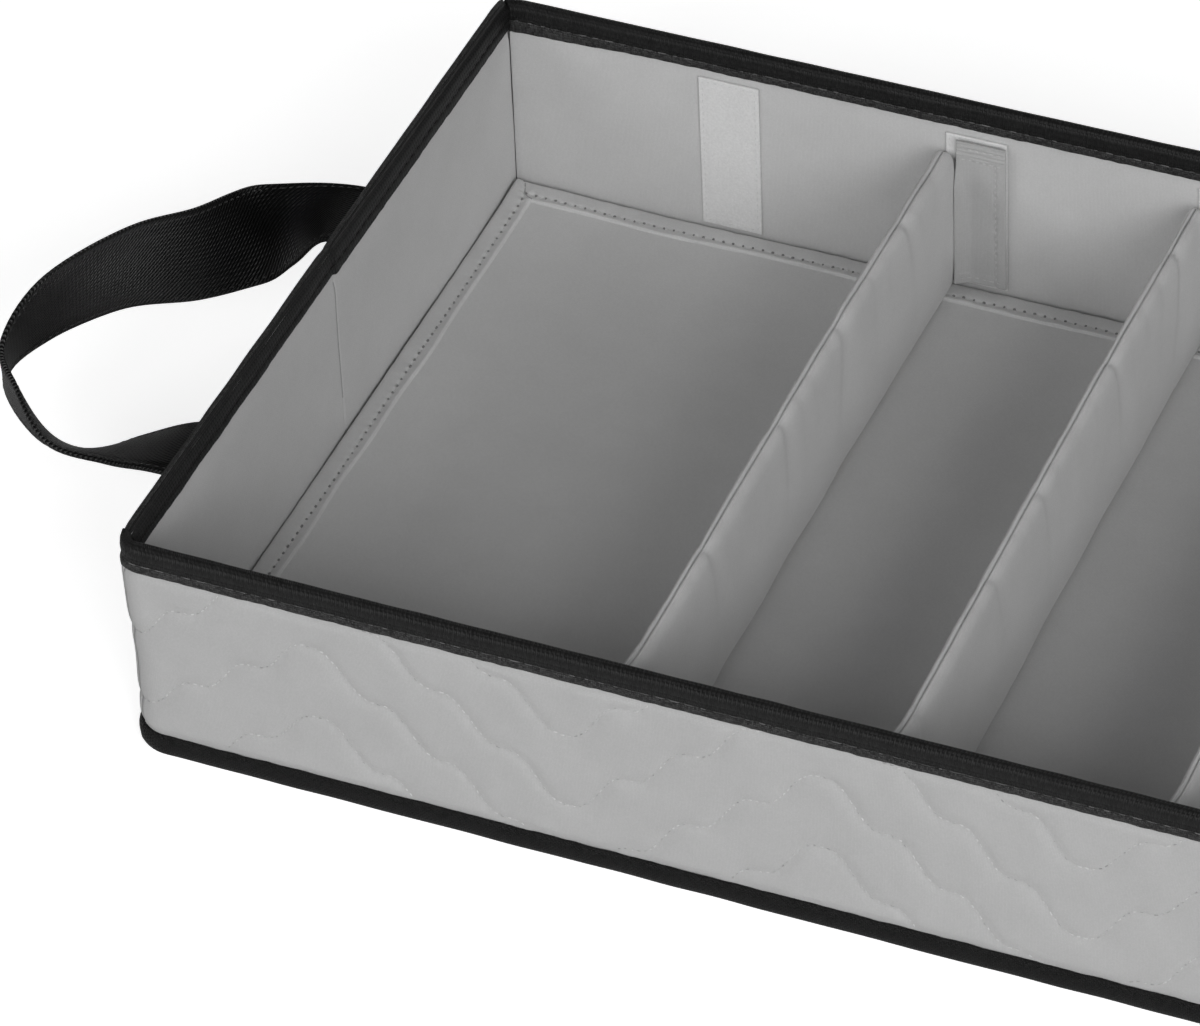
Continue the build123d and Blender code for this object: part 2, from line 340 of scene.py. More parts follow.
    def build(self, name: str, materials: list[bpy.types.Material]) -> bpy.types.Object:
        """Make the object and put it in the scene.

        Args:
            name: Name of the piece.
            materials: Materials of its slots, in order.

        Returns:
            The new object.
        """
        faces = np.concatenate(self._faces).astype(np.int32)
        mesh = bpy.data.meshes.new(name)
        mesh.vertices.add(self._count)
        mesh.vertices.foreach_set("co", np.concatenate(self._verts).astype(np.float32).ravel())
        mesh.loops.add(faces.size)
        mesh.loops.foreach_set("vertex_index", faces.ravel())
        mesh.polygons.add(len(faces))
        mesh.polygons.foreach_set("loop_start", np.arange(len(faces), dtype=np.int32) * 4)
        mesh.polygons.foreach_set("material_index", np.concatenate(self._slots))
        layer = mesh.uv_layers.new(name=CLOTH)
        layer.data.foreach_set("uv", np.concatenate(self._cloth).astype(np.float32).ravel())
        mesh.update(calc_edges=True)
        for material in materials:
            mesh.materials.append(material)
        work = bmesh.new()
        work.from_mesh(mesh)
        bmesh.ops.recalc_face_normals(work, faces=work.faces)
        work.to_mesh(mesh)
        work.free()
        mesh.shade_smooth()
        made = bpy.data.objects.new(name, mesh)
        bpy.context.scene.collection.objects.link(made)
        return made


@dataclass(frozen=True)
class Sewing:
    """Size and spacing of the stitches of one seam."""

    pitch: float = 4.0 * MM
    length: float = 3.0 * MM
    radius: float = 0.24 * MM
    uneven: float = 0.35


def dress(made: bpy.types.Object, node: str, body: str = "root") -> None:
    """Say which CAD node a piece replaces and the body that it rides on.

    Args:
        made: The piece.
        node: The CAD node.
        body: The body.
    """
    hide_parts(node)
    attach(made, body)
    LOG.info("%s: %d faces", made.name, len(made.data.polygons))


# Materials


class NodePen:
    """Adds nodes to one node tree and joins them."""

    def __init__(self, tree: bpy.types.NodeTree) -> None:
        self.tree = tree

    def add(
        self, kind: str, inputs: dict[str | int, object] | None = None, **settings: object
    ) -> Node:
        """Add a node.

        Args:
            kind: Its type.
            inputs: What goes into its sockets, by name or number.
            **settings: Its other settings.

        Returns:
            The node.
        """
        node = self.tree.nodes.new(kind)
        for key, value in settings.items():
            setattr(node, key, value)
        for key, value in (inputs or {}).items():
            self.feed(node.inputs[key], value)
        return node

    def feed(self, socket: Socket, value: object) -> None:
        """Join an output to a socket, or set the socket to a value."""
        if isinstance(value, Socket):
            self.tree.links.new(value, socket)
        else:
            socket.default_value = value

    def calc(self, operation: str, *values: object) -> Socket:
        """Add a Math node and return its result."""
        return self.add("ShaderNodeMath", dict(enumerate(values)), operation=operation).outputs[0]

    def group(self, tree: bpy.types.NodeTree, **values: object) -> Socket:
        """Place a node group with the given inputs and return its result."""
        return self.add("ShaderNodeGroup", values, node_tree=tree).outputs[0]

    def noise(self, place: Socket, scale: object, detail: float, distortion: float = 0.0) -> Socket:
        """Add noise and return it.

        Args:
            place: Where to take it.
            scale: Its scale, a number or a socket.
            detail: How many finer layers it has.
            distortion: How much it is bent.

        Returns:
            The noise, from 0 to 1.
        """
        inputs = {"Vector": place, "Scale": scale, "Detail": detail, "Distortion": distortion}
        return self.add("ShaderNodeTexNoise", inputs).outputs[0]

    def tint(self, colour: Triple, factor: Socket) -> Socket:
        """Return a colour times a factor."""
        inputs = {0: colour, "Scale": factor}
        return self.add("ShaderNodeVectorMath", inputs, operation="SCALE").outputs[0]


class Effects:
    """The shader node groups that the finishes share, each made once."""

    VECTOR, NUMBER = "NodeSocketVector", "NodeSocketFloat"
    THREADS = {"Cloth": VECTOR, "Along": NUMBER, "Across": NUMBER}

    def __init__(self) -> None:
        self.weave = self._weave()
        self.twill = self._twill()
        self.pile = self._pile()
        self.mottle = self._mottle()
        self.flecks = self._flecks()
        self.rumple = self._rumple()

    @staticmethod
    def _start(
        name: str, inputs: dict[str, str], output: str = "Height"
    ) -> tuple[NodePen, Node, Socket]:
        """Make an empty group.

        Args:
            name: Name of the group.
            inputs: Socket type for each input's name.
            output: Name of its one number output.

        Returns:
            The pen, the group's input node and the socket that takes its result.
        """
        tree = bpy.data.node_groups.new(name, "ShaderNodeTree")
        for key, kind in inputs.items():
            tree.interface.new_socket(name=key, in_out="INPUT", socket_type=kind)
        tree.interface.new_socket(name=output, in_out="OUTPUT", socket_type=Effects.NUMBER)
        pen = NodePen(tree)
        return pen, pen.add("NodeGroupInput"), pen.add("NodeGroupOutput").inputs[0]

    @staticmethod
    def _threads(pen: NodePen, given: Node) -> tuple[Socket, Socket]:
        """Return the thread counts along and across at each place."""
        parts = pen.add("ShaderNodeSeparateXYZ", {0: given.outputs["Cloth"]})
        along = pen.calc("DIVIDE", parts.outputs[0], given.outputs["Along"])
        across = pen.calc("DIVIDE", parts.outputs[1], given.outputs["Across"])
        return along, across

    @staticmethod
    def _about_one(pen: NodePen, value: Socket, middle: float, given: Node) -> Socket:
        """Return a factor that is 1 at the value's middle and strays by the group's Amount."""
        swing = pen.calc("MULTIPLY", pen.calc("SUBTRACT", value, middle), 2.0)
        return pen.calc("MULTIPLY_ADD", swing, given.outputs["Amount"], 1.0)

    def _weave(self) -> bpy.types.NodeTree:
        """Plain weave: threads that pass over and under each other by turns."""
        pen, given, result = self._start("plain_weave", self.THREADS)
        counts = self._threads(pen, given)
        waves = [pen.calc("SINE", pen.calc("MULTIPLY", count, math.pi)) for count in counts]
        round_a, round_b = (pen.calc("ABSOLUTE", wave) for wave in waves)
        over = pen.calc("GREATER_THAN", pen.calc("MULTIPLY", *waves), 0.0)
        warp = pen.calc("MULTIPLY", round_a, pen.calc("MULTIPLY_ADD", round_b, 0.35, 0.65))
        weft = pen.calc("MULTIPLY", round_b, pen.calc("MULTIPLY_ADD", round_a, 0.35, 0.65))
        pen.feed(result, pen.calc("MULTIPLY_ADD", over, pen.calc("SUBTRACT", warp, weft), weft))
        return pen.tree

    def _twill(self) -> bpy.types.NodeTree:
        """Twill: slanting ribs, broken up by the threads that cross them."""
        pen, given, result = self._start("slanting_twill", self.THREADS)
        along, across = self._threads(pen, given)
        slant = pen.calc("MULTIPLY", pen.calc("ADD", along, across), math.pi)
        rib = pen.calc("ABSOLUTE", pen.calc("SINE", slant))
        cross = pen.calc("ABSOLUTE", pen.calc("SINE", pen.calc("MULTIPLY", across, math.pi)))
        pen.feed(result, pen.calc("MULTIPLY", rib, pen.calc("MULTIPLY_ADD", cross, 0.4, 0.6)))
        return pen.tree

    def _pile(self) -> bpy.types.NodeTree:
        """Brushed loop pile: small tangled tufts."""
        pen, given, result = self._start("loop_pile", self.THREADS)
        counts = self._threads(pen, given)
        place = pen.add("ShaderNodeCombineXYZ", dict(enumerate(counts))).outputs[0]
        inputs = {"Vector": place, "Scale": 1.0}
        tufts = pen.add("ShaderNodeTexVoronoi", inputs, feature="SMOOTH_F1")
        tuft = pen.calc("SUBTRACT", 1.0, tufts.outputs["Distance"])
        fibres = pen.calc("ADD", pen.noise(place, 2.3, 3.0), 0.35)
        pen.feed(result, pen.calc("MULTIPLY", tuft, fibres))
        return pen.tree

    def _flecks(self) -> bpy.types.NodeTree:
        """A factor about 1 that differs from one crossing of threads to the next."""
        inputs = {**self.THREADS, "Amount": self.NUMBER}
        pen, given, result = self._start("thread_flecks", inputs, "Factor")
        cells = [pen.calc("FLOOR", count) for count in self._threads(pen, given)]
        cell = pen.add("ShaderNodeCombineXYZ", dict(enumerate(cells))).outputs[0]
        chance = pen.add("ShaderNodeTexWhiteNoise", noise_dimensions="2D")
        pen.feed(chance.inputs["Vector"], cell)
        pen.feed(result, self._about_one(pen, chance.outputs["Value"], 0.45, given))
        return pen.tree

    def _mottle(self) -> bpy.types.NodeTree:
        """A factor about 1 for colour that varies a little over the surface."""
        inputs = {"Place": self.VECTOR, "Size": self.NUMBER, "Amount": self.NUMBER}
        pen, given, result = self._start("colour_mottle", inputs, "Factor")
        scale = pen.calc("DIVIDE", 1.0, given.outputs["Size"])
        noise = pen.noise(given.outputs["Place"], scale, 4.0)
        pen.feed(result, self._about_one(pen, noise, 0.5, given))
        return pen.tree

    def _rumple(self) -> bpy.types.NodeTree:
        """Low creases of cloth that was folded and handled."""
        pen, given, result = self._start("soft_rumple", {"Place": self.VECTOR, "Size": self.NUMBER})
        scale = pen.calc("DIVIDE", 1.0, given.outputs["Size"])
        pen.feed(result, pen.noise(given.outputs["Place"], scale, 3.0, 0.6))
        return pen.tree


def new_material(name: str) -> tuple[bpy.types.Material, NodePen, Node]:
    """Make a material and return it with its pen and its Principled BSDF."""
    made = bpy.data.materials.new(name)
    made.use_nodes = True
    return made, NodePen(made.node_tree), made.node_tree.nodes["Principled BSDF"]


class Surface(Enum):
    """How the face of a cloth or tape is made."""

    PLAIN = "weave"
    TWILL = "twill"
    PILE = "pile"


@dataclass(frozen=True)
class ClothFinish:
    """Finish of a woven cloth, tape or thread."""

    name: str
    colour: Triple
    surface: Surface = Surface.PLAIN
    along: float = 0.55 * MM
    across: float = 0.55 * MM
    relief: float = 0.05 * MM
    valley_shade: float = 0.15
    fleck: float = 0.03
    mottle: float = 0.05
    mottle_size: float = 18.0 * MM
    rumple: float = 0.25 * MM
    rumple_size: float = 14.0 * MM
    roughness: float = 0.75
    rough_swing: float = 0.3
    sheen: float = 0.2
    sheen_roughness: float = 0.5
    specular: float = 0.35

    def material(self, effects: Effects) -> bpy.types.Material:
        """Make the material.

        Args:
            effects: The shared shader groups.

        Returns:
            The new material.
        """
        made, pen, shader = new_material(self.name)
        place = pen.add("ShaderNodeTexCoord").outputs["Object"]
        cloth = pen.add("ShaderNodeUVMap", uv_map=CLOTH).outputs[0]
        threads = {"Cloth": cloth, "Along": self.along, "Across": self.across}
        face = pen.group(getattr(effects, self.surface.value), **threads)
        mottle = pen.group(effects.mottle, Place=place, Size=self.mottle_size, Amount=self.mottle)
        flecks = pen.group(effects.flecks, **threads, Amount=self.fleck)
        # Base colour: painted shade in the weave's valleys, times random flecks and mottle.
        shade = pen.calc("MULTIPLY_ADD", face, self.valley_shade, 1.0 - self.valley_shade * 0.6)
        shade = pen.calc("MULTIPLY", pen.calc("MULTIPLY", shade, flecks), mottle)
        pen.feed(shader.inputs["Base Color"], pen.tint(self.colour, shade))
        rumple = pen.group(effects.rumple, Place=place, Size=self.rumple_size)
        broad = pen.add("ShaderNodeBump", {"Distance": self.rumple, "Height": rumple})
        inputs = {"Distance": self.relief, "Height": face, "Normal": broad.outputs[0]}
        fine = pen.add("ShaderNodeBump", inputs)
        pen.feed(shader.inputs["Normal"], fine.outputs[0])
        swing = self.rough_swing
        rough = pen.calc("MULTIPLY_ADD", mottle, swing, self.roughness - swing)
        pen.feed(shader.inputs["Roughness"], rough)
        shader.inputs["Sheen Weight"].default_value = self.sheen
        shader.inputs["Sheen Roughness"].default_value = self.sheen_roughness
        shader.inputs["Specular IOR Level"].default_value = self.specular
        return made


def grey(level: float) -> Triple:
    """Return a neutral grey."""
    return (level, level, level)


def fabric(name: str, level: float, rumple: float, size: float, roughness: float) -> ClothFinish:
    """Return the finish of a plain woven cloth.

    Args:
        name: Name of the material.
        level: Its grey.
        rumple: Height of its creases.
        size: Size of its creases.
        roughness: Its roughness.

    Returns:
        The finish.
    """
    return ClothFinish(name, grey(level), rumple=rumple, rumple_size=size, roughness=roughness)


def tape(name: str, level: float, **settings: object) -> ClothFinish:
    """Return the finish of a shiny black tape."""
    return ClothFinish(name, grey(level), valley_shade=0.9, sheen=0.0, **settings)


def thread(name: str, level: float, roughness: float, fleck: float = 0.03) -> ClothFinish:
    """Return the finish of a thread, or of a line or dot of painted shade in a cloth."""
    return ClothFinish(name, grey(level), relief=0.03 * MM, roughness=roughness, fleck=fleck)


@dataclass(frozen=True)
class BoardFinish:
    """Finish of the stiffener boards and of the hook tape, which keep their CAD shape."""

    name: str
    colour: Triple
    grain: float
    relief: float
    roughness: float
    mottle: float = 0.18

    def material(self, effects: Effects) -> bpy.types.Material:
        """Make the material from the shared shader groups."""
        made, pen, shader = new_material(self.name)
        place = pen.add("ShaderNodeTexCoord").outputs["Object"]
        mottle = pen.group(effects.mottle, Place=place, Size=self.grain, Amount=self.mottle)
        pen.feed(shader.inputs["Base Color"], pen.tint(self.colour, mottle))
        bump = pen.add("ShaderNodeBump", {"Distance": self.relief, "Height": mottle})
        pen.feed(shader.inputs["Normal"], bump.outputs[0])
        shader.inputs["Roughness"].default_value = self.roughness
        return made


class Wardrobe:
    """Every material of the case, made once and handed out by name."""

    CLOTHS = (
        fabric("quilted_grey", 0.43, 0.35 * MM, 16 * MM, 0.8),
        fabric("lining_grey", 0.525, 0.3 * MM, 30 * MM, 0.72),
        tape(
            "tape_black", 0.009, along=0.85 * MM, across=2.4 * MM, relief=0.26 * MM,
            fleck=0.3, mottle=0.15, roughness=0.5, specular=0.24,
        ),
        # A darker copy of the black tape for the base binding: painted shade.
        tape(
            "tape_base_shaded", 0.004, along=0.85 * MM, across=0.75 * MM, relief=0.25 * MM,
            fleck=0.9, mottle=0.15, roughness=0.42, specular=0.2,
        ),
        # A lighter, speckled copy of the black tape that paints a highlight on the rim's up-facing
        # parts.
        tape(
            "tape_painted_highlight", 0.02, along=0.75 * MM, across=0.75 * MM, relief=0.25 * MM,
            fleck=0.95, mottle=0.15, roughness=0.55, specular=0.4,
        ),
        tape(
            "strap_black", 0.005, surface=Surface.TWILL, along=1.8 * MM, across=1.8 * MM,
            relief=0.5 * MM, mottle=0.2, roughness=0.36, specular=0.34,
        ),
        ClothFinish(
            "loop_grey", grey(0.66), Surface.PILE, along=0.8 * MM, across=0.8 * MM,
            relief=0.12 * MM, valley_shade=0.12, mottle=0.03, roughness=0.95, specular=0.1,
        ),
        fabric("insert_grey", 0.55, 0.35 * MM, 40 * MM, 0.7),
        fabric("divider_grey", 0.55, 0.4 * MM, 22 * MM, 0.72),
        fabric("tab_grey", 0.4, 0.3 * MM, 8 * MM, 0.72),
        thread("seam_shade", 0.1, 0.8),
        thread("quilting_thread", 0.46, 0.6, fleck=0.3),
        thread("loop_thread", 0.6, 0.8),
        # Painted shade for the stitch pits of the insert's hem.
        thread("needle_hole_shade", 0.2, 0.9),
        thread("crease_shade", 0.3, 0.9),
        thread("hem_thread", 0.5, 0.6),
        thread("dark_thread", 0.075, 0.5, fleck=0.8),
        thread("strap_thread", 0.03, 0.5),
        ClothFinish(
            "wadding_white", grey(0.7), Surface.PILE, along=2 * MM, across=2 * MM, relief=0.3 * MM
        ),
    )
    BOARDS = (
        BoardFinish("board_brown", (0.45, 0.36, 0.26), 6 * MM, 0.15 * MM, 0.85),
        BoardFinish("hook_plastic", grey(0.45), 0.9 * MM, 0.4 * MM, 0.45),
    )

    def __init__(self) -> None:
        effects = Effects()
        self._made = {f.name: f.material(effects) for f in (*self.CLOTHS, *self.BOARDS)}

    def pick(self, *names: str) -> list[bpy.types.Material]:
        """Return the materials of those names."""
        return [self._made[name] for name in names]


# The case's plan outline and how its walls stand


class Side(Enum):
    """Sides of the case, counterclockwise from the front, seen from above."""

    FRONT = 0
    RIGHT = 1
    BACK = 2
    LEFT = 3


@dataclass(frozen=True)
class SidePath:
    """Places along one side, from the bisector of one corner to that of the next."""

    outline: "Outline"
    side: Side
    share: np.ndarray
    angle: np.ndarray
    run: np.ndarray

    def points(self, inset: np.ndarray, z: np.ndarray, tightening: float = 1.0) -> np.ndarray:
        """Return points at the given distance in from the outline.

        Args:
            inset: Distances inward, one row for each place along the side.
            z: Heights, in the shape of inset.
            tightening: How fast a corner's radius shrinks with the inset.

        Returns:
            The points, in the shape of inset with x, y and z last.
        """
        case = self.outline
        share = self.share.reshape(-1, *([1] * (inset.ndim - 1)))
        angle = self.angle.reshape(share.shape)
        x, y = np.zeros(inset.shape), np.zeros(inset.shape)
        for number, part in ((self.side.value, 1.0 - share), (self.side.value + 1, share)):
            radius = np.maximum(case.corner_radius(number, z) - tightening * inset, 0.8 * MM)
            sign_x, sign_y = case.corner_signs(number)
            x += part * (sign_x * (case.half_length - inset - radius) + radius * np.cos(angle))
            y += part * (sign_y * (case.half_depth - inset - radius) + radius * np.sin(angle))
        return np.stack([x, y, z], axis=-1)

    def cut(self, first: int, last: int) -> "SidePath":
        """Return the path without its first and last places."""
        kept = slice(first, len(self.run) - last)
        return SidePath(self.outline, self.side, self.share[kept], self.angle[kept], self.run[kept])

    def swept(self, section: np.ndarray) -> list[np.ndarray]:
        """Return the insets and the heights of a section that is repeated at every place."""
        shape = (len(self.run), len(section))
        return [np.broadcast_to(section[:, k], shape).copy() for k in (0, 1)]

    @property
    def outward(self) -> np.ndarray:
        """Directions out of the side at its places."""
        flat = np.zeros_like(self.angle)
        return np.stack([np.cos(self.angle), np.sin(self.angle), flat], axis=-1)


@dataclass(frozen=True)
class Outline:
    """Outer plan outline of the case, a rectangle with round corners."""

    half_length: float
    half_depth: float
    corner: float = 10.0 * MM
    base_corner: float = 14.5 * MM
    rim_corners: tuple[float, float, float, float] = (10.0 * MM, 9.0 * MM, 5.0 * MM, 4.0 * MM)
    crease_place: float = 6.0 * MM
    crease_step: float = 0.6 * MM
    crease_drop: float = 1.3 * MM
    corner_drop: float = 1.8 * MM
    right_drop: float = 0.4
    drop_reach: tuple[float, float] = (16.0 * MM, 14.0 * MM)
    flap_from: float = 3.0 * MM
    flap_to: float = 9.0 * MM
    flap_edge: float = 2.0 * MM
    pinch_width: float = 2.5 * MM
    pinch_depth: float = 0.4 * MM
    arc_steps: int = 7

    @staticmethod
    def corner_signs(number: int) -> tuple[int, int]:
        """Return the signs of x and y at a corner, from the front left one."""
        return ((-1, -1), (1, -1), (1, 1), (-1, 1))[number % 4]

    def corner_radius(self, number: int, z: np.ndarray) -> np.ndarray:
        """Return a corner's radius, which is larger towards the base."""
        rim = self.rim_corners[number % 4]
        return self.base_corner + (rim - self.base_corner) * rise(z, 40.0 * MM, 48.0 * MM)

    def _straight(self, side: Side) -> float:
        """Return the straight length of a side."""
        half = self.half_length if side.value % 2 == 0 else self.half_depth
        return 2.0 * (half - self.corner)

    def side(self, side: Side, step: float, turns: tuple[float, float] = (1.0, 1.0)) -> SidePath:
        """Sample one side.

        Args:
            side: The side.
            step: Distance between places along its straight part.
            turns: Share of the first and the last half corner that belongs to it, 2 for a
                whole corner.

        Returns:
            The places, with their running distance round the case.
        """
        eighth = self.corner * math.pi / 4.0
        start = sum(self._straight(Side(k)) + 2.0 * eighth for k in range(side.value))
        straight = self._straight(side)
        count = max(2, int(round(straight / step)) + 1)
        turn = math.radians(225.0 + 90.0 * side.value)
        half = math.pi / 4.0
        first = turn + np.linspace(half - half * turns[0], half, self.arc_steps)[:-1]
        last = turn + half + np.linspace(0.0, half * turns[1], self.arc_steps)[1:]
        middle = np.linspace(0.0, 1.0, count)
        share = np.concatenate([np.zeros(len(first)), middle, np.ones(len(last))])
        angle = np.concatenate([first, np.full(count, turn + math.pi / 4.0), last])
        run = start + (angle - turn) * self.corner + share * straight
        return SidePath(self, side, share, angle, run)

    def droop(self, path: SidePath) -> np.ndarray:
        """Return how far the rim is pressed down along a side, at its back corners."""
        back_left, back_right = np.full((2, len(path.run)), np.inf)
        if path.side is Side.BACK:
            back_left, back_right = path.run[-1] - path.run, path.run - path.run[0]
        elif path.side is Side.LEFT:
            back_left = path.run - path.run[0]
        elif path.side is Side.RIGHT:
            back_right = path.run[-1] - path.run
        left, right = self.drop_reach
        drop = self.corner_drop * ease(1.0 - back_left / left)
        return drop + self.right_drop * self.corner_drop * ease(1.0 - back_right / right)

    @property
    def length_round(self) -> float:
        """Length of the whole outline."""
        return sum(self._straight(s) for s in Side) + math.tau * self.corner

    def step_at_crease(self, points: np.ndarray) -> np.ndarray:
        """Return the rim's points with the step where an end wall folds.

        Each end wall folds flat along a crease at mid depth, and beside the crease the
        inner flap of one half stands further out and ends a little higher.

        Args:
            points: Points of the rim binding.

        Returns:
            The moved points.
        """
        moved = np.array(points, dtype=float)
        end = np.where(moved[..., 0] < 0.0, -1.0, 1.0)
        along = self.crease_place + end * moved[..., 1]
        depth = self.half_length - np.abs(moved[..., 0])
        edge = self.flap_edge
        inner = rise(depth, self.flap_from, edge) * fall(depth, self.flap_to, edge)
        turned = ease(along / (3.0 * MM) + 0.5)
        pinch = bell(along, self.pinch_width)
        moved[..., 0] += end * inner * turned * self.crease_step
        moved[..., 0] -= end * (1.0 - inner) * pinch * self.pinch_depth
        low = fall(moved[..., 2], 92.0 * MM, 4.0 * MM)
        moved[..., 2] -= inner * low * (1.0 - turned) * self.crease_drop
        return moved


# Pieces of the walls


@dataclass(frozen=True)
class WaveQuilting:
    """Rows of stepped waves sewn into the outer cloth."""

    period: float = 200.0 * MM
    spacing: float = 33.8 * MM
    peak_run: float = 73.6 * MM
    peak_height: float = 73.1 * MM
    slope: float = 0.79
    first_slope: float = 0.66
    ripple: float = 25.0 * MM
    puff: float = 1.35 * MM
    puff_reach: float = 2.6 * MM
    dome_power: float = 1.2
    seam_share: float = 0.12
    swell: float = 0.22
    swell_size: float = 22.0 * MM
    pucker: float = 0.16 * MM
    pucker_pitches: float = 1.6
    pucker_reach: float = 1.8 * MM
    pucker_uneven: float = 0.6
    pucker_size: float = 4.0 * MM
    sewing: Sewing = Sewing(pitch=2.7 * MM, length=2.1 * MM, radius=0.26 * MM, uneven=0.45)

    def _from_peak(self, run: np.ndarray) -> np.ndarray:
        """Return the distance along the wall from the nearest peak."""
        half = self.period / 2.0
        return np.abs((run - self.peak_run + half) % self.period - half)

    def height(self, run: np.ndarray) -> np.ndarray:
        """Return the height of the top row of waves."""
        away = self._from_peak(run)
        wave = self.ripple / math.tau * np.sin(math.tau * away / self.ripple)
        first = (run < self.peak_run) & (run > self.peak_run - self.period / 2.0)
        return self.peak_height - np.where(first, self.first_slope, self.slope) * (away - wave)

    def relief(self, run: np.ndarray, z: np.ndarray) -> np.ndarray:
        """Return how far the puffed cloth stands out over its backing.

        Args:
            run: Running distance round the case.
            z: Height.

        Returns:
            The relief in metres.
        """
        away = self._from_peak(run)
        steep = self.slope * (1.0 - np.cos(math.tau * away / self.ripple))
        below = (self.height(run) - z) % self.spacing
        near = np.minimum(below, self.spacing - below) / np.sqrt(1.0 + steep**2)
        dome = 1.0 - np.exp(-((near / self.puff_reach) ** self.dome_power))
        uneven = 1.0 + self.pucker_uneven * soft_noise(run, z, self.pucker_size, 5)
        gathers = np.cos(math.tau * run / (self.pucker_pitches * self.sewing.pitch))
        pucker = gathers * uneven * np.exp(-near / self.pucker_reach)
        swell = soft_noise(run, z, self.swell_size, 3) * self.swell
        puffed = self.seam_share + dome * (1.0 - self.seam_share + swell)
        return self.puff * puffed + self.pucker * pucker


@dataclass
class QuiltedCovers:
    """The four quilted outer cloths."""

    outline: Outline
    wardrobe: Wardrobe
    quilting: WaveQuilting = WaveQuilting()
    step: float = 1.25 * MM
    seam_step: float = 0.5 * MM
    seam_margin: float = 1.0 * MM
    least_places: int = 12
    low: float = 1.0 * MM
    high: float = 99.0 * MM
    edge: float = 0.6 * MM
    rest_inset: float = 1.0 * MM
    inner_inset: float = 2.35 * MM
    shows_from: float = 10.4 * MM
    shows_to: float = 88.3 * MM
    fade: float = 4.0 * MM
    rim_droop: float = 1.3

    def _run(self, path: SidePath) -> np.ndarray:
        """Return the quilting's own distance, which starts and ends at the back right corner."""
        turned = path.outline.length_round if path.side in (Side.BACK, Side.LEFT) else 0.0
        return path.run - turned

    def _inset(self, run: np.ndarray, z: np.ndarray) -> np.ndarray:
        """Return how far in from the outline the outer face lies."""
        shown = rise(z, self.shows_from, self.fade) * fall(z, self.shows_to, self.fade)
        return self.rest_inset - shown * self.quilting.relief(run, z)

    def build(self) -> None:
        """Make the four cloths with their quilting thread."""
        for side in Side:
            name = f"{side.name.lower()}_cover"
            path = self.outline.side(side, self.step)
            run = self._run(path)
            heights = spaced(self.high - self.low, self.step, self.edge) + self.low
            grid_run, grid_z = np.meshgrid(run, heights, indexing="ij")
            outer = self._inset(grid_run, grid_z)
            droop = self.outline.droop(path)[:, None]
            placed_z = grid_z - rise(grid_z, 90.0 * MM, 6.0 * MM) * self.rim_droop * droop
            border = rise(grid_z, self.low, self.edge) * fall(grid_z, self.high, self.edge)
            inner = outer + (self.inner_inset - outer) * border
            inner[[0, -1]] = outer[[0, -1]]
            maker = MeshMaker()
            faces = (path.points(inset, placed_z) for inset in (outer, inner))
            maker.shell(*faces, np.stack([grid_run, grid_z], axis=-1))
            self._quilt(maker, path, run)
            cloths = self.wardrobe.pick("quilted_grey", "quilting_thread")
            made = maker.build(f"{name}_cloth", cloths)
            dress(made, name)

    def _quilt(self, maker: MeshMaker, path: SidePath, run: np.ndarray) -> None:
        """Sew the rows of waves along one side."""
        fine = np.arange(run[0] + self.seam_step, run[-1] - self.seam_step, self.seam_step)
        top = self.quilting.height(fine)
        lowest, highest = self.shows_from + self.seam_margin, self.shows_to - self.seam_margin
        for row in range(-3, 4):
            z = top - row * self.quilting.spacing
            shown = (z > lowest) & (z < highest)
            breaks = np.flatnonzero(np.diff(shown.astype(int))) + 1
            for part in np.split(np.arange(len(fine)), breaks):
                if len(part) > self.least_places and shown[part[0]]:
                    self._row(maker, path, run, fine[part], z[part])

    def _row(
        self, maker: MeshMaker, path: SidePath, run: np.ndarray, where: np.ndarray, z: np.ndarray
    ) -> None:
        """Sew one unbroken stretch of a row of waves.

        Args:
            maker: Where the stitches go.
            path: The side.
            run: The quilting's distance at each place of the side.
            where: The quilting's distance at each point of the row.
            z: Height at each point of the row.
        """
        share, angle = (np.interp(where, run, values) for values in (path.share, path.angle))
        row = SidePath(self.outline, path.side, share, angle, where)
        maker.stitches(row.points(self._inset(where, z), z), row.outward, self.quilting.sewing)


